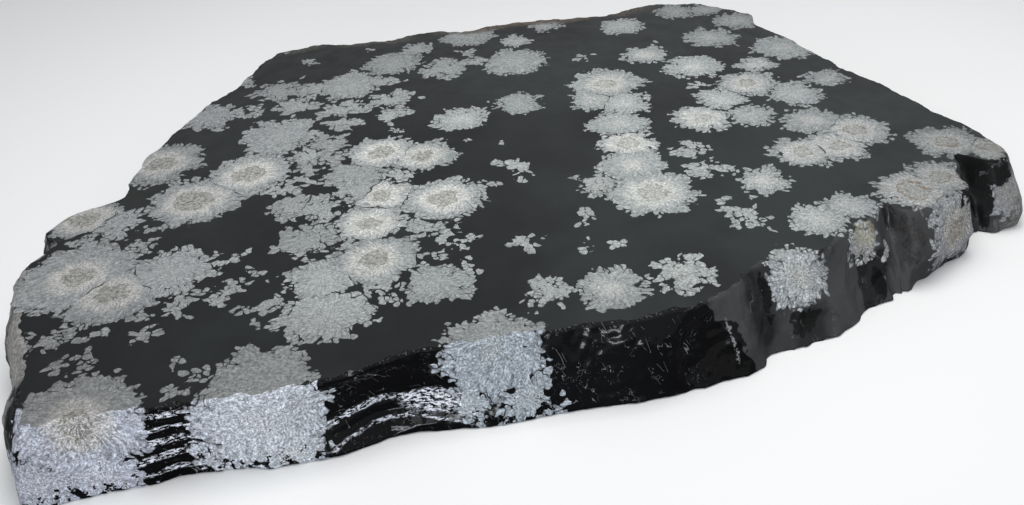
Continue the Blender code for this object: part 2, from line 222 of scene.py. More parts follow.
# Snowflakes that the sawn top cuts: x, y, radius of the patch on the top, how deep the
# centre lies under the top, looseness of the rim from 0 to 1, and the eye's radius
# where the cut passes near the centre (0.05 for a pale heart without an eye), in mm.
TOP_FLAKES = (
    (-51.3, 4.8, 6.5, 0.3, 0.20, 2.0),
    (-37.5, -0.5, 6.6, 0.3, 0.25, 2.2),
    (-43.8, -7.0, 7.1, 0.3, 0.25, 2.4),
    (-57.5, -10.0, 5.2, 0.5, 0.30, 1.7),
    (-53.0, -12.0, 4.5, 2.0, 0.50, 0.0),
    (-47.5, -13.3, 2.8, 2.0, 0.85, 0.0),
    (-55.5, -15.5, 3.6, 2.0, 0.80, 0.0),
    (-54.0, -24.0, 8.1, 0.3, 0.25, 1.9),
    (-48.8, -28.0, 6.7, 0.3, 0.20, 1.9),
    (-43.0, -24.5, 6.0, 1.0, 0.45, 0.0),
    (-37.0, -22.3, 2.8, 2.0, 0.90, 0.0),
    (-33.0, -25.5, 2.0, 2.0, 0.90, 0.0),
    (-53.5, -37.0, 4.2, 2.0, 0.85, 0.0),
    (-42.0, -32.5, 3.2, 2.0, 0.90, 0.0),
    (-27.5, -22.5, 3.2, 1.5, 0.65, 0.0),
    (-12.5, -18.6, 3.0, 1.5, 0.80, 0.0),
    (-8.6, -21.8, 3.2, 1.5, 0.90, 0.0),
    (-7.0, -27.0, 2.6, 1.5, 0.95, 0.0),
    (-12.0, -25.5, 2.6, 1.5, 0.90, 0.0),
    (-17.0, -32.3, 3.0, 1.5, 0.75, 0.0),
    (-32.0, -5.0, 3.6, 1.5, 0.75, 0.0),
    (-30.5, -10.5, 4.2, 1.5, 0.80, 0.0),
    (-27.0, 2.0, 3.6, 1.5, 0.45, 0.0),
    (-30.0, 4.5, 3.4, 1.5, 0.60, 0.0),
    (-17.0, -4.3, 2.8, 1.0, 0.35, 0.0),
    (-45.0, 14.3, 2.0, 1.0, 0.70, 0.0),
    (-26.5, 14.5, 3.4, 1.0, 0.50, 0.0),
    (-19.0, 15.0, 2.8, 1.0, 0.50, 0.0),
    (-3.8, -8.4, 1.1, 0.4, 0.10, 0.0),
    (-17.5, 10.0, 1.3, 0.5, 0.30, 0.0),
    (-7.2, 5.2, 0.9, 0.3, 0.20, 0.0),
    (-2.5, 3.5, 0.9, 0.3, 0.40, 0.0),
    (-19.5, 3.0, 5.5, 0.3, 0.30, 1.6),
    (-13.5, 1.0, 5.0, 0.3, 0.25, 1.4),
    (-23.0, -3.0, 5.0, 2.0, 0.40, 0.0),
    (-22.0, -7.5, 4.0, 1.5, 0.40, 0.0),
    (-18.5, -9.5, 4.5, 0.4, 0.25, 1.4),
    (-10.5, -11.5, 6.0, 0.2, 0.20, 1.7),
    (-27.0, -11.5, 4.5, 2.0, 0.60, 0.0),
    (-19.5, -16.5, 5.0, 0.3, 0.25, 1.5),
    (-27.0, -19.0, 4.5, 2.0, 0.60, 0.0),
    (-18.5, -25.0, 6.0, 0.3, 0.20, 1.7),
    (-24.0, -28.5, 5.0, 0.6, 0.25, 0.0),
    (-11.0, -31.0, 4.5, 1.5, 0.30, 0.0),
    (-23.0, -35.5, 6.0, 1.0, 0.35, 0.0),
    (-30.5, -33.5, 3.0, 2.0, 0.80, 0.0),
    (-28.8, -46.3, 6.3, 3.9, 0.25, 0.05),
    (-46.0, -49.8, 7.0, 1.0, 0.12, 1.4),
    (-4.7, -43.5, 6.6, 0.9, 0.28, 0.05),
    (1.8, -34.5, 3.7, 1.5, 0.45, 0.0),
    (8.6, -34.5, 4.5, 0.8, 0.15, 0.05),
    (17.0, -32.6, 3.8, 1.5, 0.38, 0.0),
    (30.4, -32.4, 4.2, 1.8, 0.20, 0.0),
    (35.0, -23.5, 4.0, 0.8, 0.10, 0.0),
    (39.5, -21.0, 3.5, 0.8, 0.10, 0.0),
    (39.8, -26.0, 2.4, 2.2, 0.30, 0.0),
    (48.3, -18.3, 4.8, 0.2, 0.12, 2.1),
    (52.8, -15.6, 4.3, 0.3, 0.12, 1.2),
    (57.3, -6.3, 4.9, 0.2, 0.08, 1.3),
    (61.6, -8.8, 3.5, 0.2, 0.08, 1.2),
    (47.0, -1.0, 5.0, 0.3, 0.15, 1.5),
    (42.0, 3.0, 4.5, 1.0, 0.15, 0.05),
    (38.0, -6.0, 4.5, 0.3, 0.15, 1.3),
    (43.0, -5.0, 4.5, 0.3, 0.15, 1.4),
    (31.0, -13.0, 3.7, 0.8, 0.20, 0.05),
    (15.5, 0.0, 4.5, 0.3, 0.20, 1.5),
    (15.0, -6.0, 5.0, 0.8, 0.20, 0.05),
    (9.8, -11.0, 3.2, 1.0, 0.30, 0.0),
    (16.5, -14.0, 6.0, 0.2, 0.15, 1.8),
    (24.0, -3.0, 3.4, 1.5, 0.60, 0.0),
    (24.5, -8.5, 3.0, 1.5, 0.60, 0.0),
    (-48.0, 20.0, 5.0, 1.5, 0.45, 0.0),
    (-42.0, 21.0, 4.0, 2.0, 0.85, 0.0),
    (-38.0, 28.0, 4.8, 1.5, 0.60, 0.0),
    (-26.5, 28.2, 5.8, 1.0, 0.25, 0.0),
    (-32.0, 28.0, 3.6, 1.0, 0.50, 0.0),
    (-22.0, 29.0, 3.6, 1.0, 0.50, 0.0),
    (-34.0, 21.0, 4.2, 1.5, 0.50, 0.0),
    (-27.0, 18.5, 4.2, 1.5, 0.45, 0.0),
    (-19.5, 21.0, 4.8, 1.5, 0.70, 0.0),
    (-35.0, 39.6, 1.9, 0.5, 0.50, 0.0),
    (-25.5, 43.5, 1.6, 0.5, 0.50, 0.0),
    (-39.0, 44.5, 1.6, 0.5, 0.50, 0.0),
    (-6.0, 34.5, 3.4, 1.5, 0.70, 0.0),
    (-7.0, 38.5, 2.2, 1.0, 0.60, 0.0),
    (28.8, 18.3, 1.9, 0.5, 0.50, 0.0),
    (-35.2, 11.0, 6.4, 1.0, 0.40, 0.0),
    (-27.5, 7.0, 4.0, 1.5, 0.50, 0.0),
    (-20.0, 36.2, 5.3, 1.0, 0.30, 0.0),
    (-16.0, 41.6, 3.5, 1.0, 0.20, 0.0),
    (-11.0, 32.6, 4.4, 1.0, 0.40, 0.0),
    (-7.0, 46.5, 5.0, 1.0, 0.10, 0.0),
    (-8.0, 12.3, 4.3, 1.0, 0.05, 0.05),
    (0.8, 16.3, 4.3, 1.0, 0.30, 0.0),
    (0.8, 33.0, 5.9, 0.6, 0.20, 0.0),
    (1.5, 42.8, 3.3, 1.0, 0.30, 0.0),
    (-44.5, 33.5, 2.6, 1.0, 0.50, 0.0),
    (20.5, 46.0, 4.0, 1.0, 0.10, 0.0),
    (31.0, 51.6, 4.0, 1.0, 0.25, 0.0),
    (36.5, 51.0, 3.6, 1.0, 0.20, 0.0),
    (41.0, 44.5, 4.3, 1.0, 0.15, 0.0),
    (34.8, 37.4, 4.7, 1.0, 0.20, 0.0),
    (22.3, 31.8, 4.4, 1.0, 0.30, 0.05),
    (45.5, 30.5, 5.5, 0.8, 0.20, 0.0),
    (29.5, 25.4, 5.0, 0.8, 0.25, 0.05),
    (39.3, 24.5, 3.7, 1.0, 0.25, 0.05),
    (36.2, 17.4, 5.1, 0.4, 0.20, 1.3),
    (48.5, 17.3, 3.4, 1.2, 0.25, 0.0),
    (42.3, 12.3, 4.3, 1.0, 0.15, 0.0),
    (31.0, 12.5, 4.2, 1.0, 0.15, 0.0),
    (27.0, 6.5, 4.6, 0.4, 0.15, 1.3),
    (34.0, 6.0, 3.7, 1.0, 0.25, 0.0),
    (14.8, 21.4, 6.0, 0.4, 0.20, 1.4),
    (12.0, 15.4, 4.2, 1.0, 0.20, 0.0),
    (16.2, 13.4, 4.6, 0.8, 0.20, 0.0),
    (15.0, 7.0, 4.6, 1.0, 0.20, 0.0),
    (6.5, 49.5, 3.4, 1.0, 0.30, 0.0),
    (-49.0, -17.8, 3.2, 1.5, 0.80, 0.0),
    (-36.0, -30.0, 3.0, 1.5, 0.80, 0.0),
    (-46.5, -35.5, 1.6, 1.0, 0.80, 0.0),
    (-42.8, -37.0, 1.9, 1.0, 0.60, 0.0),
    (-48.5, -41.3, 2.6, 2.0, 0.90, 0.0),
    (-43.5, -42.0, 1.6, 2.0, 0.90, 0.0),
    (-35.0, -45.0, 3.0, 2.0, 0.80, 0.0),
    (-0.5, -4.8, 2.7, 1.5, 0.85, 0.0),
    (0.0, -23.5, 2.2, 1.0, 0.50, 0.0),
    (6.8, -18.2, 2.3, 1.5, 0.85, 0.0),
    (8.8, -25.0, 2.8, 1.5, 0.90, 0.0),
    (27.0, -21.0, 4.0, 1.5, 0.90, 0.0),
    (12.0, 33.0, 2.2, 2.5, 1.00, 0.0),
    (-30.0, 0.0, 3.0, 1.5, 0.80, 0.0),
)

# Snowflakes that only the broken front cuts: x, y, depth of the centre under the top,
# radius of the sphere, looseness and eye radius, in mm.
SIDE_FLAKES = (
    (-51.0, -50.6, 7.4, 4.8, 0.20, 0.0),
    (-45.0, -50.2, 8.0, 4.6, 0.20, 0.0),
    (-34.0, -49.6, 8.6, 3.4, 0.60, 0.0),
    (-26.5, -48.0, 8.4, 4.6, 0.30, 0.0),
    (-7.8, -44.4, 6.4, 3.3, 0.70, 0.0),
    (-1.4, -43.8, 7.2, 4.4, 0.65, 0.0),
    (42.9, -25.8, 4.4, 1.7, 0.50, 0.0),
    (52.8, -22.0, 3.8, 5.6, 0.15, 1.2),
    (48.3, -24.2, 3.0, 1.8, 0.70, 0.0),
    (63.2, -12.0, 4.8, 4.2, 0.35, 0.0),
    (64.0, -5.6, 6.4, 2.6, 0.40, 0.0),
)

# Weathered patches on the rim, and black patches of painted shade that keep hollows, and the spot under the
# snowflake at x 30, bare black in place of the painted sheen: x and y of the rim point and height of the
# middle, half width and half height, in mm; share at the middle; and colour (linear RGB).
STAINS_AND_SHADE = (
    (-61.0, -22.5, 5.5, 11.0, 9.0, 0.97, (0.270, 0.260, 0.245)),
    (-55.2, -39.5, 5.0, 8.5, 8.0, 0.97, (0.260, 0.253, 0.240)),
    (-56.6, -34.5, 8.2, 6.5, 6.0, 0.97, (0.270, 0.260, 0.245)),
    (-59.4, -8.2, 6.5, 6.0, 6.5, 0.95, (0.300, 0.275, 0.240)),
    (-55.0, 1.0, 5.5, 9.0, 4.5, 0.60, (0.130, 0.120, 0.105)),
    (63.2, -12.0, 4.0, 5.5, 6.5, 0.60, (0.190, 0.185, 0.172)),
    (39.4, -24.9, 8.0, 2.3, 3.2, 0.70, (0.330, 0.320, 0.240)),
    (58.3, -11.6, 5.5, 2.8, 7.0, 0.90, (0.004, 0.004, 0.004)),
    (61.0, -12.8, 8.2, 3.6, 3.0, 0.74, (0.004, 0.004, 0.004)),
    (20.0, -37.8, 3.4, 2.5, 4.1, 1.00, (0.002, 0.002, 0.002)),
    (30.0, -32.5, 2.4, 3.2, 2.0, 0.75, (0.006, 0.006, 0.006)),
    (40.2, -24.7, 2.4, 1.4, 2.4, 1.00, (0.003, 0.003, 0.003)),
    (45.6, -23.6, 6.4, 2.6, 3.8, 0.70, (0.030, 0.028, 0.027)),
    (25.6, -32.6, 6.0, 1.2, 4.0, 0.75, (0.004, 0.004, 0.004)),
    (54.6, -19.4, 8.6, 2.6, 1.6, 0.75, (0.004, 0.004, 0.004)),
    (-9.0, 50.3, 9.2, 6.0, 3.0, 0.80, (0.090, 0.082, 0.073)),
    (-1.5, 51.2, 9.4, 9.0, 4.0, 1.00, (0.100, 0.083, 0.069)),
    (9.0, 52.2, 9.4, 10.0, 4.0, 1.00, (0.100, 0.081, 0.066)),
    (22.5, 54.0, 9.2, 6.0, 3.0, 0.90, (0.090, 0.076, 0.063)),
    (-38.0, 46.8, 9.2, 7.0, 3.0, 0.80, (0.084, 0.080, 0.073)),
    (-24.0, 48.0, 9.2, 9.0, 3.0, 0.85, (0.090, 0.083, 0.075)),
)


def blend_round(values: np.ndarray, reach: float) -> np.ndarray:
    """Blend a closed run of samples with a bell curve.

    Args:
        values: Samples along the rim, shape (n,) or (n, k).
        reach: Standard deviation of the bell, in samples.

    Returns:
        The blended samples, with the same shape.
    """
    turns = np.fft.fftfreq(values.shape[0])
    damp = np.exp(-2.0 * (np.pi * turns * reach) ** 2)
    if values.ndim > 1:
        damp = damp[:, None]
    return np.real(np.fft.ifft(np.fft.fft(values, axis=0) * damp, axis=0))


@dataclass
class WaveBand:
    """A band of seeded plane waves over the rim, with long waves stronger than short ones."""

    length: float
    """Length round the rim, so that every wave closes."""
    shortest: float
    longest: float
    count: int
    height: float
    """Root mean square height of the waves' sum."""
    seed: int
    slant: float = 0.55
    """Most that a wave's phase turns in a millimetre of height, in radians."""

    def __post_init__(self) -> None:
        """Draw the waves: how often each goes round the rim, its slant, its phase and its size."""
        draw = np.random.default_rng(self.seed)
        low, high = self.length / self.longest, self.length / self.shortest
        self.turns = np.round(low * (high / low) ** draw.random(self.count))
        self.rise = draw.uniform(-self.slant, self.slant, self.count)
        self.phase = draw.uniform(0.0, 2.0 * np.pi, self.count)
        self.size = 1.0 / self.turns
        self.size *= self.height / np.sqrt(np.sum(self.size**2) / 2.0)

    def at(self, along: np.ndarray, height: np.ndarray, steepness: float = 1.0) -> np.ndarray:
        """Return the sum of the sines at each place.

        Args:
            along: Distance along the rim.
            height: Height over the underside.
            steepness: Multiplies how fast the waves change with height.

        Returns:
            The sum, in the shape that the places broadcast to.
        """
        total = np.zeros(np.broadcast(along, height).shape)
        for turns, rise, phase, size in zip(self.turns, self.rise, self.phase, self.size):
            angle = 2.0 * np.pi * turns * along / self.length + steepness * rise * height + phase
            total += size * np.sin(angle)
        return total


@dataclass
class Rim:
    """The broken rim, known at evenly spaced stations along its upper edge. Sizes in millimetres."""

    thickness: float = 9.5
    stations: int = 4096
    corner_softness: float = 0.55
    """How far along the rim a corner of the outline is blended."""
    normal_softness: float = 4.5
    """The same for the outward direction."""
    foot_softness: float = 1.2
    belly_softness: float = 2.0
    waviness: float = 0.20
    """Size of the uneven waves of the broken faces."""
    grit: float = 0.035
    """Size of the finest unevenness."""
    grit_steepness: float = 6.0
    big_facets: tuple[float, float, int] = (4.4, 0.78, 21)
    """Usual width, scale of the depth, and seed."""
    small_facets: tuple[float, float, int] = (1.7, 0.20, 22)
    smooth_from: tuple[float, float] = (-51.5, -50.5)
    """Rim point where the smooth part of the front starts."""
    smooth_to: tuple[float, float] = (14.0, -39.7)
    """Rim point where it ends."""
    smooth_share: float = 0.9
    """How much of the facets is missing there."""
    smooth_fade: float = 5.0

    def __post_init__(self) -> None:
        """Sample the outline, the foot, the belly and the outward direction."""
        points = np.array(RIM)
        closed = np.vstack([points, points[:1]])
        steps = np.hypot(*np.diff(closed[:, :2], axis=0).T)
        along = np.concatenate([[0.0], np.cumsum(steps)])
        self.length = float(along[-1])
        self.station = np.arange(self.stations) * self.length / self.stations
        sampled = np.stack([np.interp(self.station, along, closed[:, k]) for k in range(4)], axis=1)
        per_mm = self.stations / self.length
        self.edge = blend_round(sampled[:, :2], self.corner_softness * per_mm)
        self.foot = blend_round(sampled[:, 2], self.foot_softness * per_mm)
        self.belly = blend_round(sampled[:, 3], self.belly_softness * per_mm)
        soft = blend_round(sampled[:, :2], self.normal_softness * per_mm)
        run = np.roll(soft, -1, axis=0) - np.roll(soft, 1, axis=0)
        run /= np.linalg.norm(run, axis=1)[:, None]
        self.outward = np.stack([run[:, 1], -run[:, 0]], axis=1)
        self.waves = WaveBand(
            self.length, shortest=5.0, longest=22.0, count=26, height=self.waviness, seed=7
        )
        self.fine = WaveBand(self.length, shortest=0.9, longest=4.5, count=60, height=self.grit, seed=11)

    def aside(self, along: np.ndarray, x: float, y: float) -> np.ndarray:
        """Return the signed distance along the rim from the rim point nearest to a place.

        Args:
            along: Distance along the rim.
            x: The place's x.
            y: The place's y.

        Returns:
            The distance, in the shape of along.
        """
        nearest = np.argmin(np.hypot(self.edge[:, 0] - x, self.edge[:, 1] - y))
        half = self.length / 2.0
        return (along - self.station[nearest] + half) % self.length - half

    def off_middle(
        self,
        along: np.ndarray,
        height: np.ndarray,
        middle: list[float],
        half_width: float,
        half_height: float,
    ) -> np.ndarray:
        """Return how far places lie from the middle of an oval patch.

        Args:
            along: Distance along the rim.
            height: Height over the underside.
            middle: The patch's middle: x and y of the rim point, and height.
            half_width: Half the patch's width along the rim.
            half_height: Half the patch's height.

        Returns:
            The square of the distance in half sizes, which is 1 on the patch's edge.
        """
        x, y, level = middle
        return (self.aside(along, x, y) / half_width) ** 2 + ((height - level) / half_height) ** 2

    def bites(self, along: np.ndarray, height: np.ndarray) -> np.ndarray:
        """Return how far the flake scars cut in: the deepest bowl at each place, less the highest lump.

        Args:
            along: Distance along the rim, shape (1, n).
            height: Height, shape (m, 1).

        Returns:
            The cut, shape (m, n).
        """
        cut =np.zeros(np.broadcast(along, height).shape)
        lump = np.zeros_like(cut)
        for *middle, width, tall, depth in SCARS:
            off = self.off_middle(along, height, middle, width / 2.0, tall / 2.0)
            bowl = abs(depth) * np.clip(1.0 - off, 0.0, None)
            if depth > 0.0:
                cut = np.maximum(cut, bowl)
            else:
                lump = np.maximum(lump, bowl)
        return cut - lump

    def ripples(self, along: np.ndarray, height: np.ndarray) -> tuple[np.ndarray, np.ndarray]:
        """Return the conchoidal ripples and their frosting, which is partly a painted highlight.

        The ripples are sines of the distance from each set's point, unevenly spaced, that fade out along the
        rim. The frosting lies on their upper slopes, where the sine falls outward and the faces turn up
        toward the lights, narrower inside the named ring and wider beyond it, and on patches of crushed
        glass; its pale colour is crushed glass and partly a painted highlight.

        Args:
            along: Distance along the rim, shape (1, n).
            height: Height, shape (m, n) or (m, 1).

        Returns:
            How far the ripples stand out, and the share of frosting and painted highlight, each of shape (m,
            n).
        """
        total = np.zeros(np.broadcast(along, height).shape)
        frost_and_highlight = np.zeros_like(total)
        for x, y, level, wavelength, size, reach, ring, beyond, frost_and_highlight_share in RIPPLES:
            aside = self.aside(along, x, y)
            past = np.hypot(aside, height - level) - ring
            turn = 2.0 * np.pi * past / wavelength + np.pi + 0.5 * np.sin(past * 0.9)
            from_middle = np.hypot(aside, height - self.thickness / 2.0)
            fade = np.clip(1.3 - 1.3 * from_middle / reach, 0.0, 1.0)
            fade = fade * np.clip(beyond - past + 0.5, 0.0, 1.0)
            total += size * fade * (np.sin(turn) + 0.25 * np.sin(2.0 * turn))
            # The frost lies where the slopes face up toward the lights, so it is partly a painted highlight.
            narrow = np.where(past < -1.1, 0.62, np.where(past > 1.5, 0.0, 0.25))
            slope = np.clip((-np.cos(turn) - narrow) / 0.4, 0.0, 1.0)
            frost_and_highlight = np.maximum(frost_and_highlight, frost_and_highlight_share * np.clip(1.6 * fade, 0.0, 1.0) * slope)
        for *middle, half_width, half_height, share in CRUSHED:
            off = self.off_middle(along, height, middle, half_width, half_height)
            frost_and_highlight = np.maximum(frost_and_highlight, share * np.clip(1.6 * (1.0 - off), 0.0, 1.0))
        return total, frost_and_highlight

    def roughness(self, along: np.ndarray) -> np.ndarray:
        """Return the facets' share along the rim: a tenth on the smooth front left, full elsewhere."""
        inside = np.minimum(self.aside(along, *self.smooth_from), -self.aside(along, *self.smooth_to))
        return 1.0 - self.smooth_share * np.clip(inside / self.smooth_fade + 0.5, 0.0, 1.0)

    def facets(
        self, along: np.ndarray, height: np.ndarray, size: float, depth: float, seed: int
    ) -> np.ndarray:
        """Return how far small conchoidal facets cut in.

        Each facet is a bowl, its depth falling with the square of the distance from the nearest of many
        jittered seeds, so that neighbouring bowls meet in a sharp ridge.

        Args:
            along: Distance along the rim, shape (1, n).
            height: Height, shape (m, 1).
            size: Usual width of a facet.
            depth: Scale of the depth. The deepest facet cuts in 0.4 of it.
            seed: Seed of the draw.

        Returns:
            The cut, about zero on average, shape (m, n).
        """
        columns = round(self.length / size)
        step = self.length / columns
        rows = int(np.ceil(self.thickness / step)) + 3
        draw = np.random.default_rng(seed)
        jitter = draw.uniform(0.0, 1.0, (2, rows, columns))
        strength = draw.uniform(0.25, 1.0, (rows, columns))
        across, up = np.broadcast_arrays(along / step, height / step + 1.0)
        nearest = np.full(across.shape, 9.0)
        chosen = np.zeros(across.shape)
        for column_shift in (-1, 0, 1):
            for row_shift in (-1, 0, 1):
                column = np.floor(across).astype(int) + column_shift
                row = np.clip(np.floor(up).astype(int) + row_shift, 0, rows - 1)
                spot = (row, column % columns)
                away = (across - column - jitter[0][spot]) ** 2 + (up - row - jitter[1][spot]) ** 2
                closer = away < nearest
                nearest = np.where(closer, away, nearest)
                chosen = np.where(closer, strength[spot], chosen)
        return depth * chosen * (0.4 - np.minimum(nearest, 1.2))

    def stains_and_shade(self, along: np.ndarray, height: np.ndarray) -> np.ndarray:
        """Return the weathering and the black painted shade at each place; the strongest patch wins.

        Args:
            along: Distance along the rim, shape (1, n).
            height: Height, shape (m, n).

        Returns:
            Colour and share, shape (m, n, 4).
        """
        found = np.zeros((*np.broadcast(along, height).shape, 4))
        for *middle, half_width, half_height, strength, colour in STAINS_AND_SHADE:
            off = self.off_middle(along, height, middle, half_width, half_height)
            share = strength * np.clip(1.3 * (1.0 - off), 0.0, 1.0)
            wins = share > found[..., 3]
            found[wins, :3] = colour
            found[..., 3] = np.maximum(found[..., 3], share)
        return found

    def read(self, values: np.ndarray, along: np.ndarray) -> np.ndarray:
        """Return station values at other distances along the rim."""
        place = np.append(self.station, self.length)
        return np.interp(along % self.length, place, np.append(values, values[0]))

    def side(self, along: np.ndarray, height: np.ndarray) -> np.ndarray:
        """Return points of the broken side.

        The offset outward is the foot's share, falling evenly to nothing at the top, plus the belly's bow,
        largest half way up, plus the waves, the ripples and the grit, less the bites of the scars and the
        small facets.

        Args:
            along: Distance along the rim of each column, shape (1, n).
            height: Height of each row, shape (m, 1).

        Returns:
            The points, shape (m, n, 3).
        """
        part = height / self.thickness
        inner = np.clip(4.0 * part * (1.0 - part) * 2.2, 0.0, 1.0)
        offset = self.read(self.foot, along[0]) * (1.0 - part)
        offset = offset + self.read(self.belly, along[0]) * 4.0 * part * (1.0 - part)
        offset = offset + self.waves.at(along, height) - self.bites(along, height)
        offset = offset + inner * self.ripples(along, height)[0]
        offset = offset + self.fine.at(along, height, self.grit_steepness)
        rough = self.roughness(along)
        for facets in (self.big_facets, self.small_facets):
            offset = offset - rough * self.facets(along, height, *facets)
        x = self.read(self.edge[:, 0], along[0]) + self.read(self.outward[:, 0], along[0]) * offset
        y = self.read(self.edge[:, 1], along[0]) + self.read(self.outward[:, 1], along[0]) * offset
        return np.stack([x, y, np.broadcast_to(height, x.shape)], axis=-1)

    def chips(self, along: np.ndarray, mean: float, height: float) -> np.ndarray:
        """Return the width of a chipped arris, uneven but never under a third of the mean.

        Args:
            along: Distance along the rim of each column, shape (1, n).
            mean: Mean width of the chips.
            height: Height of the arris.

        Returns:
            The width in each column, shape (n,).
        """
        level = np.array([[height]])
        rough = self.waves.at(along * 3.0, level)[0] / self.waviness
        rough = rough + self.fine.at(along, level)[0] / self.grit
        return mean * np.clip(1.0 + 0.6 * rough, 0.33, 2.4)


class Flakes:
    """All spherulites in the stone, as spheres: centre, and radius, looseness and eye radius."""

    SEED = 5
    HIDDEN = 150
    """How many hidden ones are drawn. Those that would come near the front are left out."""
    SCATTER = 1.2
    """How far the rim of a fully loose one scatters outward."""
    BATCH = 20000
    """How many places are searched at a time, to save memory."""

    def __init__(self, rim: Rim) -> None:
        """Take the listed ones and the hidden ones.

        Args:
            rim: The slab's rim, for its thickness and extent.
        """
        table = np.vstack([self.listed(rim), self.hidden(rim)])
        self.centre = table[:, :3]
        self.traits = table[:, 3:]

    @staticmethod
    def listed(rim: Rim) -> np.ndarray:
        """Return the listed ones: centre, radius, looseness and eye, shape (n, 6)."""
        top = np.array(TOP_FLAKES)
        low = np.array(SIDE_FLAKES)
        radius = np.append(np.hypot(top[:, 2], top[:, 3]), low[:, 3])
        rest = np.vstack([top[:, [0, 1, 3, 4, 5]], low[:, [0, 1, 2, 4, 5]]])
        return np.column_stack([rest[:, :2], rim.thickness - rest[:, 2], radius, rest[:, 3:]])

    def hidden(self, rim: Rim) -> np.ndarray:
        """Scatter spherulites under the sawn top, clear of the front.

        Args:
            rim: The slab's rim.

        Returns:
            Centre, radius, looseness and eye, shape (n, 6).
        """
        draw = np.random.default_rng(self.SEED)
        first, last = rim.edge.min(axis=0) - 3.0, rim.edge.max(axis=0) + 3.0
        spots = np.column_stack([draw.uniform(first[k], last[k], self.HIDDEN) for k in range(2)])
        size = draw.uniform(3.0, 7.0, self.HIDDEN)
        height = rim.thickness - size - draw.uniform(0.8, 4.5, self.HIDDEN)
        faces_front = rim.outward[:, 1] < -0.25
        near_left = (rim.edge[:, 0] < -50.0) & (rim.edge[:, 1] < 0.0)
        front = rim.edge[faces_front | near_left]
        to_front = np.min(np.linalg.norm(spots[:, None] - front[None], axis=2), axis=1)
        kept = to_front > size + 4.0
        spots, size, height = spots[kept], size[kept], height[kept]
        loose = draw.uniform(0.1, 0.7, len(size))
        eye = np.where(size > 4.5, draw.uniform(0.9, 1.8, len(size)), 0.0)
        return np.column_stack([spots, height, size, loose, eye])

    def nearest(self, places: np.ndarray, count: int) -> tuple[np.ndarray, np.ndarray]:
        """Find the spherulites whose surfaces reach furthest over each place.

        The score is the distance to the centre less the radius and less the rim's scatter; the lowest scores
        win.

        Args:
            places: Points, shape (n, 3).
            count: How many spherulites to keep at each point.

        Returns:
            Centres, shape (n, count, 3), and traits (radius, looseness, eye), shape (n, count, 3).
        """
        best = np.empty((len(places), count), dtype=np.int64)
        for start in range(0, len(places), self.BATCH):
            part = places[start : start + self.BATCH]
            away = np.linalg.norm(part[:, None, :] - self.centre[None], axis=2)
            score = away - self.traits[:, 0] - self.SCATTER * self.traits[:, 1]
            best[start : start + self.BATCH] = np.argsort(score, axis=1)[:, :count]
        return self.centre[best], self.traits[best]


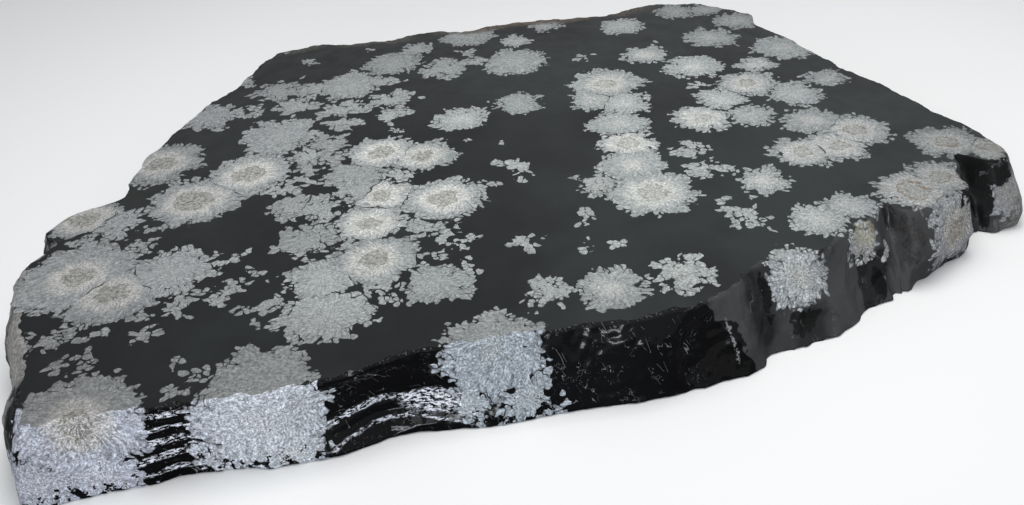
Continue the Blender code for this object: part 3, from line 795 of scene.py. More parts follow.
@dataclass
class Slab:
    """The stone's surface. Sizes in millimetres."""

    name: str = "snowflake_obsidian"
    columns: int = 1536
    rows: int = 42
    bunching: float = 0.055
    """How much closer together the rings lie near the two arrises."""
    cap_step: float = 1.5
    """Spacing of the points inside the flat faces."""
    cap_row: float = 0.866
    """Spacing of their rows, as a share of the step."""
    cap_margin: float = 0.45
    """Least distance of these points from the edge."""
    top_chipping: float = 0.26
    foot_chipping: float = 0.45
    crust_from: float = 35.0
    """Least y of the crust that spreads from the far edge over the sawn top."""
    crust_reach: float = 3.0
    kept: int = 4
    """How many spherulites each face knows of."""

    def along(self, rim: Rim) -> np.ndarray:
        """Return the distance along the rim of each column, shape (1, columns)."""
        return (np.arange(self.columns) * rim.length / self.columns)[None, :]

    def rings(self, rim: Rim) -> np.ndarray:
        """Return the rings of the side from the underside's edge to the top's.

        Args:
            rim: The slab's rim.

        Returns:
            The points in the part's own place, inside the CAD's box, shape (rows, columns, 3).
        """
        along = self.along(rim)
        even = np.linspace(0.0, 1.0, self.rows)
        part = even - self.bunching * np.sin(2.0 * np.pi * even)
        rings = rim.side(along, part[:, None] * rim.thickness)
        outward = np.stack([rim.read(rim.outward[:, k], along[0]) for k in range(2)], axis=1)
        low = rim.chips(along, self.foot_chipping, 0.0)
        high = rim.chips(along, self.top_chipping, rim.thickness)
        rings[0, :, :2] -= outward * low[:, None]
        rings[-1, :, :2] -= outward * high[:, None]
        rings[..., :2] -= BOX_MIDDLE
        low_corner, high_corner = (np.array(corner) / MM for corner in CAD_BOX)
        return np.clip(rings, low_corner, high_corner)

    def cap(self, edge: np.ndarray) -> tuple[np.ndarray, np.ndarray, np.ndarray]:
        """Triangulate a flat face inside a ring.

        A hexagonal grid of points fills the ring, and Delaunay triangles join them to it. A point is inside
        where a line from it crosses the ring an odd number of times.

        Args:
            edge: The ring's points, counter-clockwise, shape (n, 2).

        Returns:
            Inner points, triangles that index the ring first and the inner points after it, and each inner
            point's distance from the ring.
        """
        low, high = edge.min(axis=0), edge.max(axis=0)
        xs = np.arange(low[0], high[0], self.cap_step)
        ys = np.arange(low[1], high[1], self.cap_step * self.cap_row)
        x, y = np.meshgrid(xs, ys)
        x = x + (np.arange(len(ys)) % 2)[:, None] * self.cap_step / 2.0
        spots = np.stack([x.ravel(), y.ravel()], axis=1)
        ahead = np.roll(edge, -1, axis=0)
        crosses = (edge[None, :, 1] > spots[:, 1:2]) != (ahead[None, :, 1] > spots[:, 1:2])
        rise = ahead[None, :, 1] - edge[None, :, 1]
        rise = np.where(rise == 0.0, 1e-12, rise)
        slope = (ahead[None, :, 0] - edge[None, :, 0]) / rise
        meets = edge[None, :, 0] + slope * (spots[:, 1:2] - edge[None, :, 1])
        spots = spots[np.sum(crosses & (spots[:, 0:1] < meets), axis=1) % 2 == 1]
        gap = np.min(np.linalg.norm(spots[:, None, :] - edge[None], axis=2), axis=1)
        clear = gap > self.cap_margin
        spots, gap = spots[clear], gap[clear]
        count = len(edge)
        pairs = np.stack([np.arange(count), (np.arange(count) + 1) % count], axis=1)
        placed = [Vector(spot) for spot in np.vstack([edge, spots]).tolist()]
        made = delaunay_2d_cdt(placed, pairs.tolist(), [], 1, 1e-7)
        source = np.array([came[0] for came in made[3]])
        return spots, source[np.array(made[2])], gap

    def build(self, rim: Rim, flakes: Flakes) -> bpy.types.Object:
        """Build the stone's closed mesh, with its stains and painted shade, its frost and painted
        highlights, and its spherulites written on it.

        Args:
            rim: The slab's rim.
            flakes: The spherulites in the stone.

        Returns:
            The new object, at the origin.
        """
        rings = self.rings(rim)
        side = rings.reshape(-1, 3)
        index = np.arange(self.rows * self.columns).reshape(self.rows, self.columns)
        top_in, top_faces, top_gap = self.cap(rings[-1, :, :2])
        low_in, low_faces, _ = self.cap(rings[0, :, :2])
        top_points = np.column_stack([top_in, np.full(len(top_in), rings[-1, 0, 2])])
        low_points = np.column_stack([low_in, np.full(len(low_in), rings[0, 0, 2])])
        points = np.vstack([side, top_points, low_points])
        top_map = np.concatenate([index[-1], len(side) + np.arange(len(top_in))])
        low_map = np.concatenate([index[0], len(side) + len(top_in) + np.arange(len(low_in))])
        walls = self.walls(index)
        top = self.facing(points, top_map[top_faces], 1.0)
        low = self.facing(points, low_map[low_faces], -1.0)
        faces = np.vstack([walls, top, low])
        mesh = self.mesh(points, faces, len(walls))
        self.keep_arrises_sharp(mesh, index)
        along = self.along(rim)
        # The stains hold weathering and, in black, painted shade.
        side_stain_and_shade = rim.stains_and_shade(along, rings[..., 2]).reshape(-1, 4)
        top_stain = self.spread_inward(side_stain_and_shade[index[-1]], rings[-1, :, :2], top_in, top_gap)
        stain_and_shade = np.vstack([side_stain_and_shade, top_stain, np.zeros((len(low_in), 4))])
        self.write(mesh, "stain_and_shade", "FLOAT_COLOR", "POINT", stain_and_shade)
        # The frost is crushed glass and partly a painted highlight.
        frost_and_highlight = np.zeros(len(points))
        frost_and_highlight[: len(side)] = rim.ripples(along, rings[..., 2])[1].ravel()
        self.write(mesh, "frost_and_highlight", "FLOAT", "POINT", frost_and_highlight)
        self.write_flakes(mesh, points[faces].mean(axis=1), flakes)
        mesh.update()
        stone = bpy.data.objects.new(self.name, mesh)
        bpy.context.scene.collection.objects.link(stone)
        LOG.info("stone: %d points, %d triangles", len(points), len(faces))
        return stone

    @staticmethod
    def walls(index: np.ndarray) -> np.ndarray:
        """Return the triangles of the side, two for each pair of neighbouring columns and rings.

        Args:
            index: Numbers of the side's points, shape (rows, columns).

        Returns:
            The triangles, shape (m, 3).
        """
        after = np.roll(index, -1, axis=1)
        lower = np.stack([index[:-1], after[:-1], after[1:]], axis=-1).reshape(-1, 3)
        upper = np.stack([index[:-1], after[1:], index[1:]], axis=-1).reshape(-1, 3)
        return np.vstack([lower, upper])

    def mesh(self, points: np.ndarray, faces: np.ndarray, broken: int) -> bpy.types.Mesh:
        """Make the mesh, with its broken faces smooth and in the second material.

        Args:
            points: Points in millimetres, shape (n, 3).
            faces: Triangles, shape (m, 3).
            broken: How many of the first triangles are the broken side's.

        Returns:
            The mesh, in metres.
        """
        mesh = bpy.data.meshes.new(self.name)
        mesh.vertices.add(len(points))
        mesh.vertices.foreach_set("co", (points * MM).ravel())
        mesh.loops.add(faces.size)
        mesh.loops.foreach_set("vertex_index", faces.ravel())
        mesh.polygons.add(len(faces))
        mesh.polygons.foreach_set("loop_start", np.arange(0, faces.size, 3))
        mesh.update(calc_edges=True)
        is_side = np.arange(len(faces)) < broken
        mesh.polygons.foreach_set("use_smooth", is_side)
        mesh.polygons.foreach_set("material_index", np.where(is_side, 1, 0))
        return mesh

    @staticmethod
    def write(mesh: bpy.types.Mesh, name: str, kind: str, domain: str, values: np.ndarray) -> None:
        """Write values on a mesh as a new attribute.

        Args:
            mesh: The mesh.
            name: The attribute's name.
            kind: FLOAT, FLOAT_VECTOR or FLOAT_COLOR.
            domain: POINT or FACE.
            values: One row for each point or face.
        """
        field = {"FLOAT": "value", "FLOAT_VECTOR": "vector", "FLOAT_COLOR": "color"}[kind]
        layer = mesh.attributes.new(name, kind, domain)
        layer.data.foreach_set(field, np.ascontiguousarray(values).ravel())

    def write_flakes(self, mesh: bpy.types.Mesh, middles: np.ndarray, flakes: Flakes) -> None:
        """Write the centre and the traits of the nearest spherulites on each face.

        Args:
            mesh: The mesh.
            middles: The middle of each face, shape (m, 3).
            flakes: The spherulites.
        """
        shift = np.array([*BOX_MIDDLE, 0.0])
        centre, traits = flakes.nearest(middles + shift, self.kept)
        centre = centre - shift
        for k in range(self.kept):
            self.write(mesh, f"heart_{k}", "FLOAT_VECTOR", "FACE", centre[:, k])
            self.write(mesh, f"trait_{k}", "FLOAT_VECTOR", "FACE", traits[:, k])

    def spread_inward(
        self, values: np.ndarray, edge: np.ndarray, spots: np.ndarray, gap: np.ndarray
    ) -> np.ndarray:
        """Carry the far edge's stains in to points of the flat face, fading to nothing.

        Args:
            values: Stains of the edge's points, shape (n, 4).
            edge: The edge's points, shape (n, 2).
            spots: Points of the flat face, shape (m, 2).
            gap: Their distance from the edge, shape (m,).

        Returns:
            The stains of the points, shape (m, 4).
        """
        found = np.zeros((len(spots), 4))
        near = np.flatnonzero(gap < self.crust_reach)
        closest = np.argmin(np.linalg.norm(spots[near, None, :] - edge[None], axis=2), axis=1)
        found[near] = values[closest]
        fade = np.clip(1.3 - 1.3 * gap / self.crust_reach, 0.0, 1.0)
        found[:, 3] *= fade * (spots[:, 1] > self.crust_from)
        return found

    @staticmethod
    def facing(points: np.ndarray, faces: np.ndarray, up: float) -> np.ndarray:
        """Return flat triangles turned so that they face one way.

        Args:
            points: Points, shape (n, 3).
            faces: Triangles, shape (m, 3).
            up: 1 to face up, or -1 to face down.

        Returns:
            The triangles, shape (m, 3).
        """
        a, b, c = (points[faces[:, k], :2] for k in range(3))
        turn = (b[:, 0] - a[:, 0]) * (c[:, 1] - a[:, 1]) - (b[:, 1] - a[:, 1]) * (c[:, 0] - a[:, 0])
        return np.where((turn * up > 0.0)[:, None], faces, faces[:, ::-1])

    @staticmethod
    def keep_arrises_sharp(mesh: bpy.types.Mesh, index: np.ndarray) -> None:
        """Mark the edges of the top's and the underside's rings as sharp.

        Args:
            mesh: The mesh.
            index: Numbers of the side's points, shape (rows, columns).
        """
        ends = np.empty(len(mesh.edges) * 2, dtype=np.int32)
        mesh.edges.foreach_get("vertices", ends)
        ends = ends.reshape(-1, 2)
        sharp = np.zeros(len(ends), dtype=bool)
        for ring in (index[0], index[-1]):
            sharp |= np.isin(ends[:, 0], ring) & np.isin(ends[:, 1], ring)
        mesh.edges.foreach_set("use_edge_sharp", sharp)


class Graph:
    """Short calls for making shader nodes in one tree."""

    MIX_SOCKETS = {"FLOAT": (2, 3, 0), "VECTOR": (4, 5, 1), "RGBA": (6, 7, 2)}
    """Places of a Mix node's two inputs and of its output, for each kind of value."""

    def __init__(self, tree: bpy.types.NodeTree) -> None:
        """Hold the tree that the nodes go into."""
        self.tree = tree

    def node(self, kind: str, **settings: object) -> bpy.types.Node:
        """Add a node.

        Args:
            kind: Its type.
            settings: Its properties.

        Returns:
            The node.
        """
        made = self.tree.nodes.new(kind)
        for name, value in settings.items():
            setattr(made, name, value)
        return made

    def feed(self, socket: Socket, value: Value) -> None:
        """Link an output to a socket, or set the socket to a plain value.

        Args:
            socket: An input.
            value: What it takes.
        """
        if isinstance(value, Socket):
            self.tree.links.new(value, socket)
        else:
            socket.default_value = value

    def attribute(self, name: str, output: str) -> Socket:
        """Return one output of an Attribute node."""
        return self.node("ShaderNodeAttribute", attribute_name=name).outputs[output]

    def math(self, operation: str, *values: Value) -> Socket:
        """Work with numbers.

        Args:
            operation: The Math node's operation.
            values: Up to three numbers.

        Returns:
            The result.
        """
        made = self.node("ShaderNodeMath", operation=operation)
        for socket, value in zip(made.inputs, values):
            self.feed(socket, value)
        return made.outputs[0]

    def times(self, first: Value, *others: Value) -> Socket:
        """Multiply numbers.

        Args:
            first: The first number.
            others: The others.

        Returns:
            The product.
        """
        for other in others:
            first = self.math("MULTIPLY", first, other)
        return first

    def vector(self, operation: str, *values: Value) -> Socket:
        """Work with vectors.

        Args:
            operation: The Vector Math node's operation.
            values: One or two vectors, or a vector and the number that scales it.

        Returns:
            The result: a number for DISTANCE, a vector for the others used here.
        """
        made = self.node("ShaderNodeVectorMath", operation=operation)
        sockets = (made.inputs[0], made.inputs["Scale"]) if operation == "SCALE" else made.inputs
        for socket, value in zip(sockets, values):
            self.feed(socket, value)
        return made.outputs["Value" if operation == "DISTANCE" else "Vector"]

    def parts(self, vector: Value) -> tuple[Socket, ...]:
        """Take a vector apart.

        Args:
            vector: The vector.

        Returns:
            Its three coordinates.
        """
        made = self.node("ShaderNodeSeparateXYZ")
        self.feed(made.inputs[0], vector)
        return tuple(made.outputs)

    def part(self, vector: Value, axis: int) -> Socket:
        """Return one coordinate of a vector."""
        return self.parts(vector)[axis]

    def red(self, colour: Socket) -> Socket:
        """Take the red of a colour.

        Args:
            colour: The colour.

        Returns:
            Its red.
        """
        made = self.node("ShaderNodeSeparateColor")
        self.feed(made.inputs[0], colour)
        return made.outputs[0]

    def ramp(self, value: Value, low: Value, high: Value, first: float = 0.0, last: float = 1.0) -> Socket:
        """Return a smooth step.

        Args:
            value: What the step follows.
            low: Where it starts.
            high: Where it ends.
            first: The result up to low.
            last: The result from high on.

        Returns:
            The step.
        """
        made = self.node("ShaderNodeMapRange", interpolation_type="SMOOTHSTEP")
        for socket, given in zip(made.inputs, (value, low, high, first, last)):
            self.feed(socket, given)
        return made.outputs[0]

    def blend(self, kind: str, share: Value, first: Value, second: Value) -> Socket:
        """Mix two values.

        Args:
            kind: What they are: FLOAT, VECTOR or RGBA.
            share: Share of the second.
            first: The first.
            second: The second.

        Returns:
            The mixture.
        """
        made = self.node("ShaderNodeMix", data_type=kind)
        low, high, result = self.MIX_SOCKETS[kind]
        self.feed(made.inputs[0], share)
        self.feed(made.inputs[low], first)
        self.feed(made.inputs[high], second)
        return made.outputs[result]

    def mix(self, share: Value, first: Value, second: Value) -> Socket:
        """Return a colour mixed from two, each an output or a plain linear RGB."""
        ends = [(*end, 1.0) if isinstance(end, tuple) else end for end in (first, second)]
        return self.blend("RGBA", share, *ends)

    def spread(self, value: Socket, stops: Stops) -> Socket:
        """Return a colour read off along a value.

        Args:
            value: Where to read, in millimetres.
            stops: What to read.

        Returns:
            The colour, blended between the two stops round the value.
        """
        low, high = stops[0][0], stops[-1][0]
        peak = max(max(colour) for _, colour in stops)
        made = self.node("ShaderNodeValToRGB")
        share = self.math("DIVIDE", self.math("SUBTRACT", value, low), high - low)
        self.feed(made.inputs[0], share)
        marks = made.color_ramp.elements
        for place, _ in stops[1:-1]:
            marks.new((place - low) / (high - low))
        for mark, (_, colour) in zip(marks, stops):
            mark.color = (*(part / peak for part in colour), 1.0)
        return self.vector("SCALE", made.outputs[0], peak)

    def noise_node(self, place: Value, scale: float, detail: float, roughness: float) -> bpy.types.Node:
        """Add a noise.

        Args:
            place: Where it is read.
            scale: Its scale, per millimetre.
            detail: Number of finer layers.
            roughness: How strong the finer layers are.

        Returns:
            The Noise Texture node.
        """
        made = self.node("ShaderNodeTexNoise")
        self.feed(made.inputs["Vector"], place)
        made.inputs["Scale"].default_value = scale
        made.inputs["Detail"].default_value = detail
        made.inputs["Roughness"].default_value = roughness
        return made

    def noise(self, place: Value, scale: float, detail: float = 2.0, roughness: float = 0.5) -> Socket:
        """Return a noise at a place, from 0 to 1."""
        return self.noise_node(place, scale, detail, roughness).outputs[0]

    def swing(self, place: Value, scale: float, detail: float = 2.0, roughness: float = 0.5) -> Socket:
        """Return a noise at a place, less its middle value."""
        return self.math("SUBTRACT", self.noise(place, scale, detail, roughness), 0.5)

    def wander(self, place: Value, source: Value, scale: float, detail: float, reach: float) -> Socket:
        """Return a place pushed about by noise.

        Args:
            place: The place that is pushed.
            source: Where the noise is read.
            scale: Noise scale, per millimetre.
            detail: Number of finer layers.
            reach: How many millimetres the whole range of the noise spans.

        Returns:
            The pushed place.
        """
        noise = self.noise_node(source, scale, detail, 0.6)
        shift = self.vector("SUBTRACT", noise.outputs["Color"], (0.5, 0.5, 0.5))
        return self.vector("ADD", place, self.vector("SCALE", shift, reach))


@dataclass(frozen=True)
class Owner:
    """Outputs that tell of the spherulite that a point belongs to. Lengths in millimetres."""

    heart: Socket
    size: Socket
    """Its radius."""
    loosened: Socket
    eye: Socket
    second: Socket
    """How far the point lies inside the runner-up."""
    between: Socket
    """How much further the point lies inside the owner than inside the runner-up."""


class Pattern:
    """The node group that works out the snowflakes at a point of the stone."""

    NAME = "snowflake pattern"
    LOOSE_LOBES_PER_MM = 11.0 / 9.5
    """A whole number of layers of lobes in the slab's thickness, so that both flats cut a layer's middle."""
    TIGHT_LOBES_PER_MM = 14.0 / 9.5
    """The same for snowflakes with a tight rim."""
    TIGHT = 0.34
    """Looseness under which a rim is tight."""
    LAYER_SHIFT = (0.0, 0.0, 0.4)
    """What brings the middle of a layer to the flats, in lobes."""
    STRETCH = 0.74
    """Power of the distance from the heart that the lobes are drawn in, which lengthens them outward."""
    SWELL = 0.07
    """How far a tight rim lies beyond the listed radius, on average, in millimetres."""
    CELL_RADIUS = 0.67
    """Distance from a lobe's middle at which it is cut round, in lobes."""
    RUSTY = (30.0, 46.0)
    """From which x on the eyes turn rusty, and where they are fully so."""
    LEFT_TO_RIGHT = (-4.0, 10.0)
    """The x range over which the hearts change from the left part's look to the right part's."""
    OUTPUTS = ("Flake", "Halo", "Core", "Ring", "Grain", "Fibre", "Star", "Crack", "Tone", "Rust", "Lobe")

    def __init__(self, kept: int) -> None:
        """Build the group once.

        Args:
            kept: How many spherulites each face knows of.
        """
        self.kept = kept
        self.tree = bpy.data.node_groups.new(self.NAME, "ShaderNodeTree")
        self.tree.interface.new_socket("Place", in_out="INPUT", socket_type="NodeSocketVector")
        for name in self.OUTPUTS:
            self.tree.interface.new_socket(name, in_out="OUTPUT", socket_type="NodeSocketFloat")
        self.graph = Graph(self.tree)
        self.build()

    def build(self) -> None:
        """Lay out the nodes.

        The spherulite whose surface lies furthest over the point owns it. Each small lobe is one Voronoi
        cell, in coordinates where the distance from the heart is drawn in by a power, so that lobes are
        longer outward than across. Grain follows the same coordinates, and fibres and strokes follow the ray
        from the heart.
        """
        g = self.graph
        place = g.node("NodeGroupInput").outputs[0]
        sink = g.node("NodeGroupOutput")
        bent = g.wander(place, place, 0.35, 1.0, 1.9)
        owner = self.owner(bent)
        span = g.vector("DISTANCE", bent, owner.heart)
        ray = g.vector("NORMALIZE", g.vector("SUBTRACT", bent, owner.heart))
        drawn = g.times(owner.size, g.math("POWER", g.math("DIVIDE", span, owner.size), self.STRETCH))
        grain_place = g.vector("ADD", owner.heart, g.vector("SCALE", ray, drawn))
        flake, lobe = self.lobes(place, grain_place, owner)
        core, ring, halo = self.heart(place, span, owner.eye)
        outward = g.vector("SCALE", (0.55, 0.55, 0.55), span)
        fibres = g.vector("ADD", g.vector("SCALE", ray, 7.0), outward)
        strokes = g.vector("ADD", g.vector("SCALE", ray, 2.8), g.vector("SCALE", outward, 1.5))
        hue = g.node("ShaderNodeTexWhiteNoise", noise_dimensions="3D")
        g.feed(hue.inputs["Vector"], owner.heart)
        values = {
            "Flake": flake,
            "Halo": halo,
            "Core": core,
            "Ring": ring,
            "Grain": g.noise(grain_place, 3.1, 2.0, 0.6),
            "Fibre": g.noise(fibres, 1.9, 2.0, 0.65),
            "Star": g.noise(strokes, 1.9, 2.0, 0.6),
            "Crack": self.cracks(place, owner),
            "Tone": hue.outputs["Value"],
            "Rust": g.ramp(g.part(place, 0), *self.RUSTY),
            "Lobe": lobe,
        }
        for name, value in values.items():
            g.feed(sink.inputs[name], value)

    def owner(self, bent: Socket) -> Owner:
        """Find the spherulite that a point belongs to.

        Args:
            bent: The point.

        Returns:
            What is known of the spherulite.
        """
        g = self.graph
        inside: Value = -50.0
        second: Value = -60.0
        heart: Value = (0.0, 0.0, 0.0)
        traits: Value = (1.0, 0.0, 0.0)
        for k in range(self.kept):
            its_heart = g.attribute(f"heart_{k}", "Vector")
            its_traits = g.attribute(f"trait_{k}", "Vector")
            here = g.math("SUBTRACT", g.part(its_traits, 0), g.vector("DISTANCE", bent, its_heart))
            wins = g.math("GREATER_THAN", here, inside)
            second = g.math("MAXIMUM", g.math("MINIMUM", inside, here), second)
            inside = g.math("MAXIMUM", inside, here)
            heart = g.blend("VECTOR", wins, heart, its_heart)
            traits = g.blend("VECTOR", wins, traits, its_traits)
        return Owner(heart, *g.parts(traits), second, g.math("SUBTRACT", inside, second))

    def lobes(self, place: Socket, grain_place: Socket, owner: Owner) -> tuple[Socket, Socket]:
        """Cut the snowflakes into lobes.

        A cell is grey where its middle lies inside the wandering rim. Near the rim the cells part, with dark
        glass between them.

        Args:
            place: The point.
            grain_place: The point, drawn in toward the heart.
            owner: Its spherulite.

        Returns:
            The share of snowflake, and how far the point lies from a parting, from 0 to 1.
        """
        g = self.graph
        tight = g.math("LESS_THAN", owner.loosened, self.TIGHT)
        extra = self.TIGHT_LOBES_PER_MM - self.LOOSE_LOBES_PER_MM
        per_mm = g.math("MULTIPLY_ADD", tight, extra, self.LOOSE_LOBES_PER_MM)
        cell_place = g.vector("SCALE", g.wander(grain_place, place, 1.5, 0.0, 0.45), per_mm)
        cell_place = g.vector("ADD", cell_place, self.LAYER_SHIFT)
        cell = g.node("ShaderNodeTexVoronoi", feature="F1")
        edge = g.node("ShaderNodeTexVoronoi", feature="DISTANCE_TO_EDGE")
        for texture in (cell, edge):
            g.feed(texture.inputs["Vector"], cell_place)
            texture.inputs["Scale"].default_value = 1.0
            texture.inputs["Randomness"].default_value = 0.8
        over = self.over(cell, per_mm, owner)
        rounded = g.math("SUBTRACT", self.CELL_RADIUS, cell.outputs["Distance"])
        wall = g.math("SMOOTH_MIN", edge.outputs["Distance"], rounded, 0.35)
        wall = g.math("MINIMUM", g.math("DIVIDE", wall, per_mm), g.times(owner.between, 0.6))
        closed = g.math("MULTIPLY_ADD", owner.loosened, 1.8, 1.4)
        gap = g.ramp(over, 0.1, closed, 0.010, -0.34)
        gap = g.math("MULTIPLY_ADD", g.swing(place, 1.3, 0.0), 0.20, gap)
        body = g.ramp(g.math("SUBTRACT", wall, gap), 0.0, 0.05)
        flake = g.times(body, g.math("GREATER_THAN", over, 0.0))
        rim_tone = g.ramp(over, 0.4, 2.4, 0.0, 0.2)
        return flake, g.ramp(g.math("ADD", wall, rim_tone), -0.02, 0.16)

    def over(self, cell: bpy.types.Node, per_mm: Socket, owner: Owner) -> Socket:
        """Return how far the middle of a lobe lies inside its snowflake's rim, in millimetres.

        The rim wanders with slow noise and with a draw for each lobe, both larger the looser it is, and a
        loose rim lies further in.

        Args:
            cell: The Voronoi node whose cells are the lobes.
            per_mm: Lobes in a millimetre.
            owner: The spherulite.

        Returns:
            The distance, below zero outside the rim.
        """
        g = self.graph
        middle = g.vector("SUBTRACT", cell.outputs["Position"], self.LAYER_SHIFT)
        middle = g.vector("SCALE", middle, g.math("DIVIDE", 1.0, per_mm))
        off = g.math("DIVIDE", g.vector("DISTANCE", middle, owner.heart), owner.size)
        off = g.times(owner.size, g.math("POWER", off, 1.0 / self.STRETCH))
        over = g.math("ADD", g.math("SUBTRACT", owner.size, off), self.SWELL)
        chance = g.math("SUBTRACT", g.red(cell.outputs["Color"]), 0.5)
        over = g.math("MULTIPLY_ADD", chance, g.math("MULTIPLY_ADD", owner.loosened, 0.8, 0.58), over)
        over = g.math("MULTIPLY_ADD", owner.loosened, -1.25, over)
        slow = g.swing(middle, 0.40, 1.0)
        return g.math("MULTIPLY_ADD", slow, g.math("MULTIPLY_ADD", owner.loosened, 9.2, 1.8), over)

    def cracks(self, place: Socket, owner: Owner) -> Socket:
        """Return the dark partings between touching snowflakes, here and there.

        Args:
            place: The point.
            owner: Its spherulite.

        Returns:
            Their share.
        """
        g = self.graph
        width = g.ramp(g.noise(place, 0.30, 2.0), 0.47, 0.67, 0.0, 0.17)
        crack = g.ramp(owner.between, width, g.math("ADD", width, 0.07), 1.0, 0.0)
        return g.times(crack, g.ramp(owner.second, 0.2, 0.8), g.math("GREATER_THAN", width, 0.01))

    def heart(self, place: Socket, span: Socket, eye: Socket) -> tuple[Socket, Socket, Socket]:
        """Work out the middle of a snowflake.

        Args:
            place: The point.
            span: Its distance from the heart.
            eye: The eye's radius.

        Returns:
            The shares of the mottled core, of the thin ring round it, and of the pale halo.
        """
        g = self.graph
        has_eye = g.math("GREATER_THAN", eye, 0.1)
        is_pale = g.math("GREATER_THAN", eye, 0.02)
        from_eye = g.math("MULTIPLY_ADD", g.swing(place, 1.1, 2.0), 1.6, g.math("SUBTRACT", span, eye))
        core = g.times(g.ramp(from_eye, -0.6, 0.4, 1.0, 0.0), has_eye)
        ring = g.times(g.ramp(g.math("ABSOLUTE", from_eye), 0.04, 0.26, 1.0, 0.0), has_eye)
        everywhere = g.ramp(g.part(place, 0), *self.LEFT_TO_RIGHT, 0.2, 0.45)
        round_eye = g.ramp(g.part(place, 0), *self.LEFT_TO_RIGHT, 0.45, -0.08)
        share = g.math("MULTIPLY_ADD", is_pale, 0.35, everywhere)
        share = g.math("MULTIPLY_ADD", has_eye, round_eye, share)
        return core, ring, g.times(g.ramp(from_eye, 0.6, 2.8, 1.0, 0.0), share)


class Surface(Enum):
    """The two kinds of surface on the stone."""

    SAWN = "sawn"
    BROKEN = "broken"


@dataclass(frozen=True)
class Finish:
    """Colours and gloss of one kind of surface."""

    glass: Colour
    smoke: Colour
    """What the glass turns to in its smoky drifts."""
    flake: Colour
    cream: Colour
    """What the snowflakes pale to round their hearts."""
    core: Colour
    core_dark: float
    """Share of the core's colour that its dark mottles keep."""
    across: Stops
    # What the snowflakes' colour is multiplied by along x, from left to right: painted light and shade, with
    # a slight tint.
    """What the snowflakes' colour is multiplied by along x, from left to right."""
    glass_roughness: float
    flake_roughness: float
    grain: float
    """How much the grain lightens and darkens the snowflakes."""
    between_lobes: float
    """Share of its brightness that a snowflake keeps between two lobes."""
    shine: float
    """Specular level, set low to keep the glass as dark as the real one."""
    tooth_scale: float
    """Scale of the bump's noise, per millimetre."""
    tooth_height: float
    """Height of the bump, in millimetres."""
    tooth_strength: float
    back: Stops = ()
    # The same as across, along y from front to back: painted light and shade.
    """The same as across, along y from front to back."""
    glass_across: Stops = ()
    # The same as across, for the glass: painted light and shade.
    """The same as across, for the glass."""


SAWN = Finish(
    glass=(0.014, 0.015, 0.016),
    smoke=(0.024, 0.028, 0.027),
    flake=(0.290, 0.308, 0.310),
    cream=(0.465, 0.472, 0.452),
    core=(0.370, 0.372, 0.348),
    core_dark=0.34,
    # Painted light and shade: brightest in the middle, darker to the left and much darker at the right end,
    # a little warm on the left.
    across=(
        (-70.0, (0.77, 0.755, 0.755)),
        (-52.0, (0.785, 0.77, 0.78)),
        (-18.0, (1.0, 1.0, 1.0)),
        (2.0, (1.0, 1.0, 1.0)),
        (14.0, (1.05, 1.05, 1.04)),
        (30.0, (1.03, 1.03, 1.03)),
        (46.0, (0.80, 0.80, 0.81)),
        (70.0, (0.52, 0.52, 0.52)),
    ),
    glass_roughness=0.36,
    flake_roughness=0.6,
    grain=0.26,
    between_lobes=0.78,
    shine=0.17,
    tooth_scale=16.0,
    tooth_height=0.02,
    tooth_strength=0.25,
    # Painted light and shade: darker at the front and the back, brightest in the middle.
    back=(
        (-60.0, (0.82, 0.80, 0.79)),
        (-42.0, (0.86, 0.85, 0.85)),
        (-34.0, (1.08, 1.08, 1.08)),
        (-16.0, (1.10, 1.10, 1.10)),
        (20.0, (1.10, 1.10, 1.10)),
        (34.0, (1.00, 1.00, 1.00)),
        (60.0, (0.74, 0.74, 0.74)),
    ),
    # Painted light and shade: the glass darker on the left and paler on the right.
    glass_across=(
        (-70.0, (0.55, 0.53, 0.55)),
        (-30.0, (0.78, 0.78, 0.78)),
        (0.0, (1.0, 1.0, 1.0)),
        (70.0, (1.36, 1.36, 1.36)),
    ),
)
BROKEN = Finish(
    glass=(0.0015, 0.0016, 0.0018),
    smoke=(0.004, 0.0042, 0.0046),
    flake=(0.37, 0.395, 0.445),
    cream=(0.41, 0.41, 0.395),
    core=(0.52, 0.51, 0.48),
    core_dark=0.14,
    # Partly painted light and shade: brightest from x -32 to -20 and darker beyond; partly a browner tone
    # toward the right.
    across=(
        (-70.0, (1.02, 1.00, 1.02)),
        (-42.0, (1.09, 1.07, 1.09)),
        (-32.0, (1.35, 1.33, 1.28)),
        (-20.0, (1.28, 1.28, 1.24)),
        (-8.0, (0.88, 0.92, 0.91)),
        (30.0, (0.92, 0.90, 0.82)),
        (46.0, (0.73, 0.70, 0.65)),
        (70.0, (0.73, 0.70, 0.66)),
    ),
    glass_roughness=0.13,
    flake_roughness=0.5,
    grain=0.40,
    between_lobes=0.6,
    shine=0.24,
    tooth_scale=7.0,
    tooth_height=0.12,
    tooth_strength=0.55,
)


